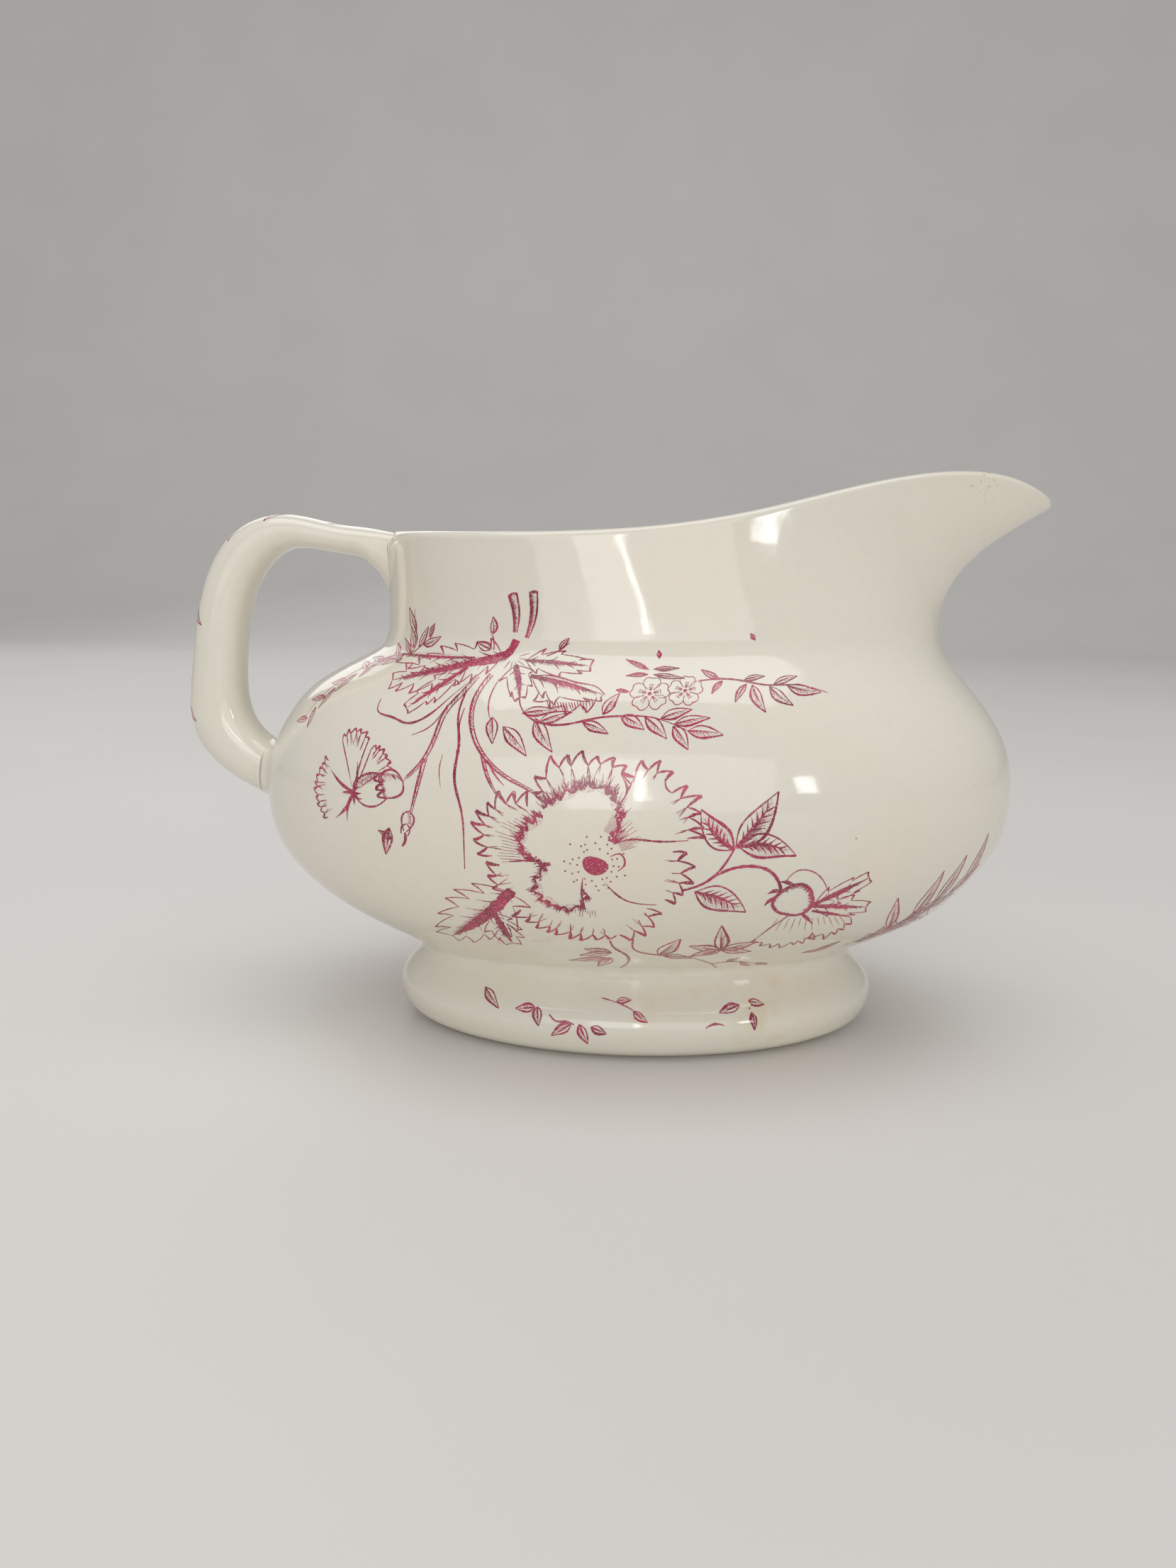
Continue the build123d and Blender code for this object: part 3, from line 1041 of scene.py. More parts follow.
# The shaded edges of its inner petals, with the length of the shading too.
BLOOM_FOLDS = (
    (((-8.5, 10.5), (-5.5, 12), (-2, 14), (1.5, 14.5), (4, 13), (5.6, 10), (5.2, 7), (4, 4.5)), 11, 1.3, 2.1),
    (((-7.5, -1), (-11, 0.3), (-13, 2.7), (-12.2, 5.5), (-9, 8.7)), 7, 1.3, 1.5),
    (((-1.2, -7), (-2, -11), (-5.5, -11.5), (-9, -9), (-10.2, -5.5), (-8, -2.5)), 9, 1.2, 1.3),
)
BLOOM_CREASES = (
    ((-1, -4), (-1.2, -8), (-1, -12)),
    ((3.5, -5), (8, -9.5), (14, -10.5)),
    ((5, 3.6), (8, 4.6), (13, 4.4), (19.8, 4.6)),
    ((6.4, 17.4), (7.6, 14.6), (6.6, 12)),
    ((8.4, 15.6), (7.6, 14.2), (7, 12.6)),
    ((16.4, 14), (15.4, 14.8), (15, 16.4)),
    ((-11, 10), (-10.6, 8.6), (-10.2, 7)),
    ((-16, -1), (-12, -0.6), (-8, -1)),
    ((4.5, 1), (6.5, 1.6), (7.4, -0.4), (6, -2.2)),
)


def bloom(sheet, centre):
    """A full double pink: toothed petals in two layers round a dark eye with a ring of dots."""
    centre = np.asarray(centre, float)

    def placed(points):
        return [centre + p for p in points]

    for edge, count, height in BLOOM_EDGES:
        line = placed(edge)
        fine_folds(sheet, centre, teeth(sheet, line, count, height, 0.6)[1], 2.6)
    for edge, count, height, shade in BLOOM_FOLDS:
        line = placed(edge)
        shadow, _ = teeth(sheet, line, count, height, 0.6)
        for p in shadow:
            away = (p - centre) / np.hypot(*(p - centre))
            for share, width in ((0.35, 0.42), (0.6, 0.30), (1.0, 0.17), (1.3, 0.13)):
                way = turned(away, sheet.random.normal(0, 12))
                start = p + turned(away, 90) * sheet.random.normal(0, 0.25)
                length = shade * share * (0.5 + 0.5 * sheet.random.random())
                sheet.stroke([start, start + way * length], width, 1.0, 0.1, step=0.8)
        outer = [p + (p - centre) / np.hypot(*(p - centre)) * shade * 0.9 for p in line]
        for p, q, r, t in zip(line[:-1], line[1:], outer[1:], outer[:-1]):
            sheet.patch([p, q, r, t], rings=3)
    for crease in BLOOM_CREASES:
        sheet.stroke(placed(crease), 0.42, 0.3, 0.4)
    for middle, spread, start, finish in ((168, 34, 13.5, 19.5), (42, 46, 7, 12), (265, 30, 12.5, 15)):
        for angle in np.arange(middle - spread / 2, middle + spread / 2, 2.2):
            far = finish - 3 * sheet.random.random()
            line = [polar(centre, start, angle), polar(centre, far, angle)]
            sheet.stroke(line, 0.11, 0.6, 0.2, step=1.5)
    heart = centre + (1.5, -1.0)
    rounds = np.linspace(0, 2 * math.pi, 14)[:-1]
    oval = [(2.7 * math.cos(a), 2.0 * math.sin(a) + 0.25 * math.cos(2 * a)) for a in rounds]
    sheet.patch([heart + turned(p, -18) for p in oval], "ink", 4)
    for ring, count in ((3.6, 14), (4.9, 16), (6.2, 13)):
        for k in range(count):
            angle = 360 * k / count + sheet.random.normal(0, 5)
            sheet.dot(polar(heart, ring * (1 + sheet.random.normal(0, 0.03)), angle), 0.42)


def jagged_leaf(sheet, base, tip, width, lobes=5, rib=1.5, sides=(1, -1)):
    """A cut leaf with a dark midrib, and a saw edge whose points lean to the leaf's tip."""
    base, tip = np.asarray(base, float), np.asarray(tip, float)
    along = tip - base
    length = np.hypot(*along)
    normal = turned(along / length, 90)

    def at(share, reach):
        return base + along * share + normal * reach * width

    sheet.stroke([at(0, 0), at(0.4, 0.03), at(0.97, 0)], rib, 0.85, 0.10)
    sheet.stroke([at(0.02, 0.02), at(0.4, 0.07), at(0.8, 0.02)], rib * 0.5, 0.9, 0.10)
    for side in sides:
        bulge = ((0.04, 0.06), (0.22, 0.27), (0.5, 0.36), (0.78, 0.2), (0.97, 0.01))
        edge = [at(share, reach * side) for share, reach in bulge]
        _, notches = teeth(sheet, edge, lobes, width * 0.2, 0.36, 0.62, side)
        for notch in notches[:-1]:
            share = np.dot(notch - base, along) / length**2
            root = at(max(share - 0.16, 0.02), 0.01 * side)
            bend = root * 0.55 + notch * 0.45 + along * 0.012
            sheet.stroke([root, bend, root * 0.25 + notch * 0.75], 0.26, 1.0, 0.1)
        for share in np.arange(0.02, 0.88, 0.42 / length):
            full = width * 0.17 * math.sin(math.pi * (0.15 + 0.75 * share)) * (0.3 + sheet.random.random())
            way = turned(along / length, (30 + 14 * sheet.random.random()) * side)
            sheet.stroke([at(share, 0), at(share, 0) + way * full], 0.18, 1.0, 0.1, step=1.0)
    sheet.patch([at(0.02, 0.02), at(0.4, 0.14), at(0.8, 0.02), at(0.4, -0.14)], rings=4)


def blossom(sheet, centre, radius):
    """A small five-petalled flower in thin outline with a dotted middle."""
    centre = np.asarray(centre, float)
    for k in range(5):
        middle = 90 + 72 * k + sheet.random.normal(0, 4)
        outline = [polar(centre, radius * 0.28, middle - 24), polar(centre, radius * 0.80, middle - 34),
                   polar(centre, radius * 1.02, middle - 13), polar(centre, radius * 0.94, middle),
                   polar(centre, radius * 1.02, middle + 13), polar(centre, radius * 0.80, middle + 34),
                   polar(centre, radius * 0.28, middle + 24)]
        sheet.stroke(outline, 0.19, 0.5, 0.5, step=0.5)
        for swing in (-9, 0, 9):
            low, high, end = (polar(centre, radius * share, middle + swing) for share in (0.2, 0.5, 0.56))
            sheet.stroke([low, high], 0.15, 1, 0.1)
            sheet.dot(end, 0.26)
    sheet.dot(centre, 0.9)


def pink_bud(sheet, base, mouth):
    """A half-open pink in profile: a cup in two ridged tiers, with toothed petals at its mouth."""
    base, mouth = np.asarray(base, float), np.asarray(mouth, float)
    way = mouth - base
    size = np.hypot(*way)
    angle = math.degrees(math.atan2(way[1], way[0]))
    aside = turned(way, 90)

    def at(ahead, side):
        return base + way * ahead + aside * side

    sheet.stroke([at(0, 0), at(0.10, -0.18), at(0.32, -0.21), at(0.45, -0.08), at(0.42, 0.0)], 0.5, 0.6, 0.6)
    sheet.stroke([at(0, 0), at(0.04, 0.16), at(0.20, 0.22), at(0.38, 0.20)], 0.5, 0.6, 0.6)
    sheet.stroke([at(0.34, -0.18), at(0.62, -0.24), at(0.88, -0.17), at(1, -0.02)], 0.5, 0.6, 0.6)
    sheet.stroke([at(0.34, 0.20), at(0.60, 0.29), at(0.86, 0.22), at(1, 0.04)], 0.42, 0.6, 0.6)
    for start, tip, end in ((-0.20, -0.13, -0.05), (-0.05, 0.02, 0.08), (0.08, 0.14, 0.20)):
        line = [at(0.38, start), at(0.53, tip), at(0.38, end)]
        sheet.stroke(line, 0.55, 0.6, 0.6, step=0.4)
        sheet.comb([at(0.42, start), at(0.42, end)], -way, size * 0.10, 0.35, 0.28)
    for side in (-0.14, -0.05, 0.03, 0.1):
        sheet.stroke([at(1, 0), at(0.92, side * 1.2), at(0.84, side * 1.3)], 0.55, 0.9, 0.1, step=0.5)
    shaded = [at(0.05, -0.10), at(0.3, -0.19), at(0.60, -0.22), at(0.9, -0.14)]
    sheet.comb(shaded, turned(aside, 15), size * 0.11, 0.42, 0.2)
    underside = ((0.05, -0.08), (0.3, -0.18), (0.62, -0.2), (0.88, -0.13), (0.6, -0.08), (0.3, -0.06))
    sheet.patch([at(*place) for place in underside], rings=3)
    for swing, spread, reach, count in ((-102, 38, 0.96, 6), (-146, 34, 0.86, 6), (-14, 76, 0.84, 10)):
        petal(sheet, mouth, size * 0.1, size * reach, angle + swing, spread, count, size * 0.085,
              sides=spread < 60)
    filaments = ((-112, 0.5, -8), (-46, 0.62, 8), (34, 0.62, 9), (58, 0.5, -12), (-10, 0.25, 0), (80, 0.2, 0))
    for swing, reach, bow in filaments:
        halfway = polar(mouth, size * reach * 0.5, angle + swing + bow)
        sheet.stroke([mouth, halfway, polar(mouth, size * reach, angle + swing)], 0.75, 1.0, 0.12)


def small_bud(sheet, base, tip, size):
    """A closed bud in outline, with a dark tip."""
    base, tip = np.asarray(base, float), np.asarray(tip, float)
    way = (tip - base) / np.hypot(*(tip - base))

    def at(ahead, aside):
        return base + way * ahead * size + turned(way, 90) * aside * size

    for side in (1, -1):
        half = ((0, 0), (0.2, 0.26), (0.6, 0.24), (0.9, 0.06))
        sheet.stroke([at(ahead, aside * side) for ahead, aside in half], 0.45, 0.6, 0.5)
        sheet.stroke([at(0.55, 0), at(0.75, 0.2 * side), at(1.05, 0.16 * side)], 0.4, 0.5, 0.6)
    sheet.comb([at(0.1, 0.1), at(0.5, 0.2)], turned(way, -80), size * 0.2, 0.4, 0.2)
    sheet.stroke([at(0.95, 0), at(1.3, 0.1), at(1.6, 0.0)], 0.9, 0.4, 0.3)


def rosebud(sheet, base, centre, size):
    """A round bud held in dark sepals."""
    base, centre = np.asarray(base, float), np.asarray(centre, float)
    way = (centre - base) / np.hypot(*(centre - base))
    angle = math.degrees(math.atan2(way[1], way[0]))
    radius = [size * (1 + 0.06 * math.cos(math.radians(3 * a))) for a in range(0, 361, 30)]
    around = [polar(centre, r, 30 * k + angle) for k, r in enumerate(radius)]
    sheet.stroke(around, 0.7, 0.9, 0.9, step=0.5)
    for edge, reach in ((around[:7], 0.30), (around[6:], 0.16)):
        sheet.comb(edge, lambda p: centre - p, size * reach, 0.3, 0.24)
    for swing in (150, 185, 215):
        a = angle + swing
        sepal = [polar(centre, size * reach, a + lean) for reach, lean in ((1, 0), (1.22, 10), (1.46, 24))]
        sheet.stroke(sepal, 0.9, 0.9, 0.2)


# Layout of one side: a cut spray of pinks that hangs from the neck, and loose sprigs about it.


KNOT = (-28, 84.5)       # where the spray's stems meet


def cut_stem(sheet, points, width):
    """A thick stem cut off square at its first point, with a shaded side."""
    line = sheet.path(points, 0.6)
    along, side = side_ways(line)
    side *= np.linspace(1, 0.35, len(line))[:, None] * width / 2
    sheet.stroke((line + side)[::3], 0.42, 0.9, 0.4)
    sheet.stroke((line - side)[::3], 0.6, 0.9, 0.4)
    cut = [line[0] + side[0] * 1.2, line[0] - along[0] * 0.3, line[0] - side[0] * 1.2]
    sheet.stroke(cut, 0.6, 0.8, 0.8, step=0.4)
    sheet.comb((line - side * 0.8)[::3], lambda p: side[0], width * 0.45, 0.34, 0.26)
    sheet.stroke(line[::3], width * 0.85, 1.0, 0.5, "tint")


def main_foliage(sheet):
    """The big cut leaves behind the spray's knot."""
    jagged_leaf(sheet, (-30, 85.2), (-57, 77), 10, 8, 1.5)
    jagged_leaf(sheet, (-38, 81.5), (-50, 70.8), 5.5, 4, 0.9)
    jagged_leaf(sheet, (-37, 84), (-62, 84), 7, 6, 0.5, (1,))
    sheet.stroke([(-52, 83.6), (-60, 83.4), (-68, 80.4), (-76, 74), (-82, 66)], 0.24, 0.5, 0.3)
    for k in range(13):
        base = np.array((-55 - 2.1 * k, 83.8 - 0.12 * k * k))
        way = 180 + 4 * k + (34 if k % 2 else -24) + sheet.random.normal(0, 9)
        length = 4.2 + 2.6 * sheet.random.random()
        leaf(sheet, base, polar(base, length, way), 1.1 + 0.5 * sheet.random.random(), line=0.27, tint=False)
    jagged_leaf(sheet, (-25.5, 83.8), (-11, 82.8), 6, 4, 0.7)
    jagged_leaf(sheet, (-23.5, 80), (-7.5, 76), 8, 4, 1.0, (-1,))
    sheet.stroke([(-23.5, 80), (-19, 80.2), (-13, 78.6), (-9.5, 77.8), (-7.5, 76)], 0.4, 0.4, 0.5)
    jagged_leaf(sheet, (-27.3, 82.6), (-24.5, 74.6), 6.5, 3, 1.2)
    sheet.comb([(-19, 74.5), (-15, 74), (-10, 75)], (0.4, -1), 2.6, 0.55, 0.2)
    teeth(sheet, [(-9, 75.4), (-13, 73.4), (-18, 74.2), (-21, 76)], 4, 1.8, 0.42, outward=1)
    sheet.stroke([(-28.2, 88.3), (-29.5, 85.4), (-33, 83.4), (-40, 81.8)], 1.7, 0.9, 0.4)
    for way in (200, 235, 262, 290, 318, 345, 12):
        sheet.stroke([polar(KNOT, 1.2, way), polar(KNOT, 3.4, way + 6)], 0.16, 0.5, 0.2)


def stems(sheet):
    """The spray's stems, from the cut ends down to the flowers."""
    cut_stem(sheet, [(-29.6, 97.5), (-28.7, 93), (-28.9, 88.6)], 1.8)
    cut_stem(sheet, [(-25, 98), (-25, 93), (-26.4, 87.6)], 1.6)
    double_stem(sheet, [(-35, 79.5), (-37.5, 75), (-40, 71), (-41.3, 66), (-43.5, 61), (-48, 56.3)], 1.0)
    double_stem(sheet, [(-43.3, 61), (-44.6, 56), (-46.5, 49)], 0.8)
    long_stem = [(-36.5, 76), (-37, 70), (-36, 65), (-36.6, 57.5), (-35, 51), (-34.5, 45), (-34.5, 38.5)]
    sheet.stroke(long_stem, 0.62, 0.6, 0.3)
    sheet.stroke([(-36, 72), (-36.4, 68), (-35.6, 64)], 0.3, 0.5, 0.3)
    bloom_stem = [(-32, 80), (-34, 75), (-34, 69.5), (-30.6, 62.5), (-26, 58.5), (-20, 55.5), (-17, 53.4)]
    double_stem(sheet, bloom_stem, 0.9)
    double_stem(sheet, [(-30.8, 62.6), (-29.2, 57.5), (-27, 54)], 0.6)
    hooked_stem = [(-57, 72.8), (-57, 70.4), (-52.5, 69), (-49, 68), (-44.5, 69.5), (-40, 74), (-37, 77.5)]
    blossom_stem = [(-25, 76.5), (-24.4, 73.5), (-22, 70.6), (-18, 69.2), (-13, 69.6), (-8, 70.9), (-3, 71.4),
                    (1, 71.4), (6, 70.2), (10, 68.5)]
    for points, width, start, end in (
        ([(-29.5, 61.2), (-28, 58.6), (-26, 56.5)], 0.4, 0.6, 0.3),
        (hooked_stem, 0.5, 0.5, 0.2),
        ([(-47, 65.6), (-43, 67.6), (-40, 72.5)], 0.26, 0.4, 0.4),
        ([(-30, 79), (-31, 75), (-30.5, 71), (-29.5, 69)], 0.34, 0.4, 0.3),
        ([(-39.4, 62), (-40, 59), (-39.6, 55.5)], 0.22, 0.4, 0.3),
        (blossom_stem, 0.45, 0.6, 0.3),
    ):
        sheet.stroke(points, width, start, end)


def loose_leaves(sheet):
    """Leaves and twigs among the stems, and the row of leaves on the blossoms' stem."""
    leaf(sheet, (-29.6, 70.3), (-28.8, 64.8), 2.4)
    leaf(sheet, (-27, 68.4), (-21.6, 62.6), 2.8, bend=0.3)
    leaf(sheet, (-20.6, 70.4), (-16.4, 63.6), 2.8, bend=-0.3)
    two_leaves = [(0.15, 40, 5.4), (0.5, 4, 6.5)]
    three_leaves = [(0.3, 22, 5.2), (0.55, -18, 5.4), (0.8, 30, 3.4)]
    for stem, leaves, width, leaf_width, tint in (
        ([(-33, 86), (-33.6, 88.5), (-34.6, 90)], [(0.1, 62, 4.2), (0.7, -28, 3.6)], 0.3, 0.45, False),
        ([(-55.5, 83.5), (-55, 87), (-56.4, 90), (-57, 94)], two_leaves, 0.35, 0.36, True),
        ([(-55.5, 83.5), (-53, 86), (-50, 88.4)], three_leaves, 0.32, 0.34, True),
        ([(-21, 85), (-19, 86), (-16.6, 88)], [(0.5, 20, 3.0)], 0.3, 0.4, False),
    ):
        twig(sheet, stem, leaves, width, leaf_width, tint)
    for base, tip, width in (
        ((-23.5, 71.4), (-16.5, 72.2), 2.0), ((-19.8, 69.6), (-13.4, 72.0), 2.1),
        ((-11, 69.8), (-5.6, 67.6), 2.0),
        ((-7.2, 71.6), (-4.6, 76.4), 2.2), ((-3.6, 71.4), (1.4, 68.6), 2.4), ((1.2, 71.3), (6, 66.8), 2.5),
        ((4.4, 71), (10.4, 73.0), 2.2), ((7.2, 69.8), (14.2, 71.2), 2.1), ((7, 69.4), (10.4, 64.6), 2.5),
        ((10, 68.4), (17.2, 67.6), 2.6),
    ):
        leaf(sheet, base, tip, width, bend=0.25)
    leaf(sheet, (-5.4, 77.2), (-2.8, 76.8), 0.8)


def blossoms(sheet):
    """Two small flowers with a few leaves over them and a leafy twig to their right."""
    blossom(sheet, (1.4, 76.4), 3.9)
    blossom(sheet, (8.4, 77.2), 3.5)
    for base, tip, width in (
        ((0.4, 82.2), (-4.6, 84.6), 0.9), ((1.4, 82.4), (6.6, 82.7), 1.0), ((0.4, 81), (-4, 80.6), 0.9),
        ((1.6, 81), (8, 80.2), 1.1), ((2.2, 84.9), (1.8, 86.7), 0.9), ((20.4, 90.4), (21.6, 89.0), 0.9),
    ):
        leaf(sheet, base, tip, width, line=0.34, tint=False)
    twig(sheet, [(11, 79.6), (15.5, 80.1), (20, 79.6), (25, 78.6), (31, 78.6), (38.5, 76.6)],
         [(0.17, 152, 4.2), (0.20, -118, 3.6), (0.33, 24, 4.4), (0.36, -100, 4.6), (0.40, -48, 7.2),
          (0.52, -36, 7.0), (0.55, 22, 5.4), (0.66, -14, 8.0)], 0.42, 0.30)


def right_sprig(sheet):
    """Three leaves and a rosebud on stems from behind the bloom."""
    sheet.stroke([(10, 35.4), (14, 37), (18, 41), (20.2, 45)], 0.62, 0.8, 0.6)
    for base, tip, width, bend in (
        ((20, 44.6), (13.2, 52.8), 5.0, 0.9), ((20.4, 45), (28.8, 56.2), 5.4, -0.5),
        ((21, 45.2), (33, 43), 5.2, 1.2), ((12.6, 35), (23.5, 29.2), 6.5, 0.8),
    ):
        leaf(sheet, base, tip, width, 6, line=0.5, bend=bend)
    sheet.stroke([(14, 37), (19.5, 40.4), (23.5, 41), (27.6, 39.8), (29.8, 37), (30.4, 35.2)], 0.7, 0.5, 1.0)
    rosebud(sheet, (29.8, 36.4), (33.6, 31.8), 4.4)
    jagged_leaf(sheet, (38, 30.5), (50.5, 37), 5.5, 3, 1.3)
    jagged_leaf(sheet, (38, 30), (51.5, 28.2), 6.5, 3, 1.1)
    sheet.stroke([(31, 36.8), (33.5, 39.6), (37, 39.2), (40, 36), (41.4, 32.6)], 0.3, 0.5, 0.5)
    teeth(sheet, [(47.6, 25.4), (46, 22), (42.6, 19.6), (39.4, 20.6)], 5, 2.2, 0.46)
    teeth(sheet, [(39.4, 20.4), (37, 17.6), (33, 16.6), (29, 17.2), (26.6, 19.4)], 7, 2.2, 0.46)
    sheet.stroke([(32.8, 27.4), (29.4, 23.6), (26.6, 19.4)], 0.36, 0.8, 0.4)
    sheet.stroke([(36, 27.6), (37.4, 26), (38.6, 24.2)], 0.9, 0.9, 0.2)
    sheet.stroke([(38, 28.6), (42, 27.4), (47.6, 25.4)], 0.8, 0.9, 0.3)
    for k in range(12):
        start = (30.6 + 1.3 * k, 26.6 - 0.05 * k)
        sheet.stroke([start, polar(start, 2.4 + 2.6 * sheet.random.random(), -112 + 5 * k)], 0.14, 0.8, 0.1)


def low_sprigs(sheet):
    """Small leaves near the foot."""
    sheet.stroke([(0.5, 20), (1, 14.6), (6, 12), (13, 11), (18.5, 13.5)], 0.6, 0.6, 0.6)
    leaf(sheet, (6, 12.2), (10.4, 20), 3.6, line=0.5)
    leaf(sheet, (7, 12), (13.5, 10), 2.6, line=0.5)
    for angle, length in ((94, 10.5), (26, 8.5), (-12, 7), (162, 7.5), (205, 7)):
        leaf(sheet, (19.5, 14.5), polar((19.5, 14.5), length, angle), 3.0, line=0.5)
    sheet.stroke([(-4.4, 19), (-3.4, 15.5), (-1, 12), (-0.4, 7), (-2, 3)], 0.65, 0.6, 0.5)
    for tip in ((-10, 14.5), (-11, 10.5), (-13.5, 6.6), (-7, 3.4)):
        leaf(sheet, (-4, 13 if tip[1] > 9 else 9.5), tip, 2.6, line=0.5)
    sheet.stroke([(13, 10.5), (18, 5.5), (20, 1.5)], 0.4, 0.6, 0.5)
    twig(sheet, [(18, 5.5), (23, 6.5), (29, 3.5)], [(0.3, 30, 4), (0.6, -30, 4), (0.9, 10, 4)], 0.4, 0.34)
    leaf(sheet, (41.5, 8.5), (47.5, 14.5), 1.8, line=0.6)
    leaf(sheet, (43, 10), (39, 9), 1.2)


def underside_foliage(sheet):
    """Leaves that run round under the belly towards the lip."""
    sheet.stroke([(50, 11), (57, 15.5), (66, 21.5), (76, 27), (84, 31)], 0.5, 0.5, 0.3)
    for base, tip, width in (
        ((66, 21), (71, 36), 3.4), ((60, 17.6), (59, 30), 3.0), ((64, 20), (74, 27), 3.0),
        ((72, 24.8), (78, 39), 3.2), ((77, 27.4), (86, 35), 3.0), ((55, 14.4), (64, 19.5), 2.6),
        ((70, 23.4), (80, 27), 2.4), ((81, 29.6), (86, 43), 3.0), ((60, 17), (69, 20.5), 2.4),
    ):
        leaf(sheet, base, tip, width, line=0.5)
    jagged_leaf(sheet, (53, 11.5), (73, 21.5), 8, 6, 1.0)


def spray(sheet):
    """The whole hanging spray, with its flowers and the cut leaves behind the large one."""
    main_foliage(sheet)
    stems(sheet)
    loose_leaves(sheet)
    bloom(sheet, (-9, 42))
    pink_bud(sheet, (-48.3, 56), (-60.8, 52.6))
    small_bud(sheet, (-46.6, 50), (-48.6, 42.6), 5)
    leaf(sheet, (-51.6, 46), (-52.8, 40), 2.2, line=0.6)
    leaf(sheet, (-51.2, 43.6), (-54.4, 45.2), 1.2, line=0.4)
    jagged_leaf(sheet, (-24.6, 34), (-40.5, 14.5), 15, 6, 2.7)
    jagged_leaf(sheet, (-29, 27), (-25.5, 14.5), 7.5, 4, 1.5)


def foot_sprigs(sheet):
    """Loose leaves scattered round the foot, as the ends of the spray's sprigs."""
    for base, tip, width, line in (
        ((-37, 17.5), (-31.5, 13.0), 2.0, 0.4), ((-23, 14.4), (-27.5, 13.6), 2.0, 0.5),
        ((-22.5, 14.6), (-21.6, 10.4), 2.0, 0.5), ((-14.2, 11.6), (-18.8, 8.4), 2.0, 0.5),
        ((-12.4, 11.6), (-10.6, 7.0), 2.0, 0.5), ((-9.8, 11.2), (-6.4, 9.8), 1.8, 0.5),
        ((24, 16.0), (18.8, 14.4), 2.0, 0.5), ((26.5, 16.8), (30.0, 15.6), 1.8, 0.4),
        ((26.4, 14.0), (26.8, 10.0), 1.4, 0.5),
    ):
        leaf(sheet, base, tip, width, line=line)
    sheet.stroke([(-19.4, 13.2), (-17.5, 11.8), (-15.5, 12.0), (-13.6, 11.4)], 0.5, 0.5, 0.5)
    twig(sheet, [(-8, 18), (-3, 16.5), (1.5, 13.8)], [(0.3, 24, 3.4), (0.75, -6, 4.0)], 0.3, 0.42)
    sheet.stroke([(15.4, 11.2), (17.4, 12.0), (19.6, 11.6)], 0.6, 0.4, 0.4)
    for place in ((26.2, 15.0), (27, 15.6)):
        sheet.dot(place, 0.5)


def handle_vine(sheet, length):
    """A leafy vine that winds along the handle's back."""
    run = np.linspace(12, length - 16, 12)
    vine = [(1.8 * math.sin(k * 1.9), v) for k, v in enumerate(run)]
    sheet.stroke(vine[:5], 0.4, 0.5, 0.3)
    sheet.stroke(vine[5:], 0.4, 0.5, 0.3)
    for k, (u, v) in enumerate(vine[:-1]):
        side = 1 if k % 2 else -1
        leaf(sheet, (u, v), (u + 4.4 * side, v + 4.2), 2.0)
        if k % 3 != 1:
            leaf(sheet, (u, v + 1.5), (u - 4.0 * side, v + 5.6), 1.8)


front, back = Sheet(11), Sheet(21)
for side in (front, back):
    spray(side)
    blossoms(side)
    right_sprig(side)
    low_sprigs(side)
    underside_foliage(side)
front.finish("print_front", on_bowl)
back.finish("print_back", on_bowl_back)

foot_print = Sheet(12)
foot_sprigs(foot_print)
foot_print.finish("print_foot_front", on_foot)
foot_print.finish("print_foot_back", lambda marks, lift: on_foot(marks, lift, math.pi))

handle_back = Sheet(13)
handle_vine(handle_back, HANDLE_RUN[-1])
handle_back.finish("print_handle", on_handle)


# ---------- stage ----------

CAMERA_DISTANCE = 0.281
CAMERA_HEIGHT = 0.105
CAMERA_SIDE = 0.00275
CAMERA_TILT = 9.8        # degrees down
CAMERA_TURN = -1.6       # degrees to the lip's side
CAMERA_ROLL = 0.7
LENS = 27.05


def make_camera():
    """The camera at the photograph's place, turned and tilted as it was held."""
    camera = bpy.data.objects.new("camera", bpy.data.cameras.new("camera"))
    bpy.context.scene.collection.objects.link(camera)
    camera.data.lens = LENS
    camera.data.sensor_width = 36
    camera.data.clip_start = 0.01
    camera.location = (CAMERA_SIDE, -CAMERA_DISTANCE, CAMERA_HEIGHT)
    tilt, turn = math.radians(CAMERA_TILT), math.radians(CAMERA_TURN)
    forward = Vector((math.sin(turn) * math.cos(tilt), math.cos(turn) * math.cos(tilt), -math.sin(tilt)))
    camera.rotation_mode = "QUATERNION"
    camera.rotation_quaternion = forward.to_track_quat("-Z", "Y")
    camera.rotation_quaternion.rotate(Quaternion(forward, math.radians(-CAMERA_ROLL)))
    bpy.context.scene.camera = camera


def plain_material(name, colour, roughness):
    """One colour with a faint broad drift."""
    nodes = Nodes(name)
    darker = tuple(0.97 * c for c in colour[:3]) + (1,)
    shade = nodes.mix(nodes.remap(nodes.noise(5, 2), 0.3, 0.7), colour, darker)
    nodes.join(shade, nodes.shader.inputs["Base Color"])
    nodes.shader.inputs["Roughness"].default_value = roughness
    return nodes.material


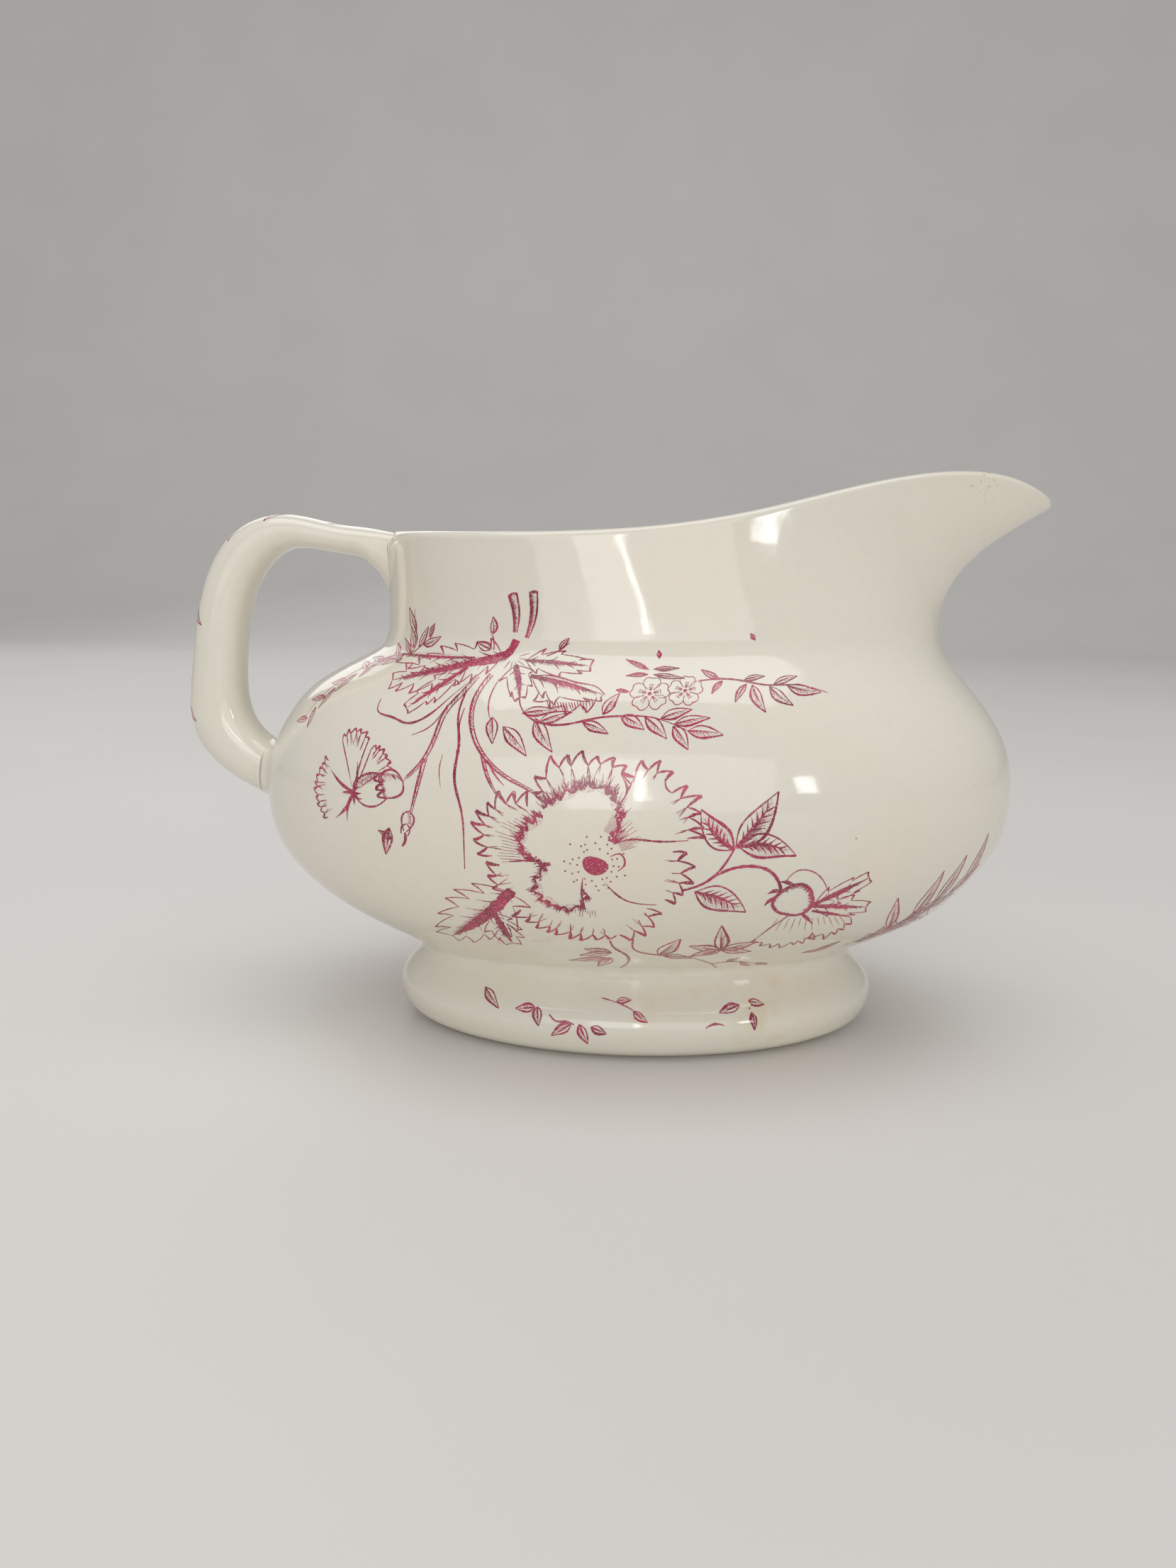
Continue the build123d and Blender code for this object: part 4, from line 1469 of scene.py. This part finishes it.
def make_floor():
    """A pale sheet that lies flat under the jug and sweeps up behind it."""
    half_width, front, back, bend = 3.0, -3.0, 1.5, 0.9
    profile = [(front, 0.0), (back, 0.0)]
    for turn in np.linspace(0.1, math.pi / 2, 16):
        profile.append((back + bend * math.sin(turn), bend - bend * math.cos(turn)))
    profile.append((back + bend, 4.0))
    points = [(x, y, z) for y, z in profile for x in (-half_width, half_width)]
    faces = [(2 * k, 2 * k + 1, 2 * k + 3, 2 * k + 2) for k in range(len(profile) - 1)]
    mesh = bpy.data.meshes.new("floor")
    mesh.from_pydata(points, [], faces)
    mesh.shade_smooth()
    floor = bpy.data.objects.new("floor", mesh)
    floor.location.z = CAD_BOX[0][2]
    bpy.context.scene.collection.objects.link(floor)
    mesh.materials.append(plain_material("pale_floor", (0.76, 0.735, 0.70, 1), 0.55))


def soft_light(name, place, size, power, colour=(1, 1, 1)):
    """A rectangular lamp that faces the jug."""
    lamp = bpy.data.objects.new(name, bpy.data.lights.new(name, "AREA"))
    lamp.data.shape = "RECTANGLE"
    lamp.data.size, lamp.data.size_y = size
    lamp.data.energy = power
    lamp.data.color = colour
    lamp.location = place
    target = Vector((0, 0, 0.06))
    lamp.rotation_mode = "QUATERNION"
    lamp.rotation_quaternion = (target - Vector(place)).to_track_quat("-Z", "Y")
    bpy.context.scene.collection.objects.link(lamp)


def make_light():
    """A soft studio: two windows in front, broad fills and a pale room."""
    world = bpy.data.worlds.new("room")
    world.use_nodes = True
    world.node_tree.nodes["Background"].inputs["Color"].default_value = (0.95, 0.96, 1.0, 1)
    world.node_tree.nodes["Background"].inputs["Strength"].default_value = 0.42
    bpy.context.scene.world = world
    bpy.context.scene.view_settings.view_transform = "Standard"
    soft_light("window_left", (-0.15, -1.5, 0.42), (0.42, 0.72), 1.5, (1.0, 0.98, 0.96))
    soft_light("window_bright_edge", (0.04, -1.48, 0.40), (0.05, 0.4), 0.45, (1.0, 0.98, 0.96))
    soft_light("window_right", (0.98, -1.25, 0.42), (0.14, 0.26), 1.0, (0.97, 0.98, 1.0))
    soft_light("front_fill", (0.0, -2.7, 0.75), (3.2, 1.5), 15, (1.0, 0.99, 0.97))
    soft_light("ceiling", (0.0, -0.2, 1.5), (1.6, 1.2), 10)
    soft_light("back_fill", (-0.6, 1.4, 0.9), (1.0, 1.0), 3)


make_floor()
make_camera()
make_light()
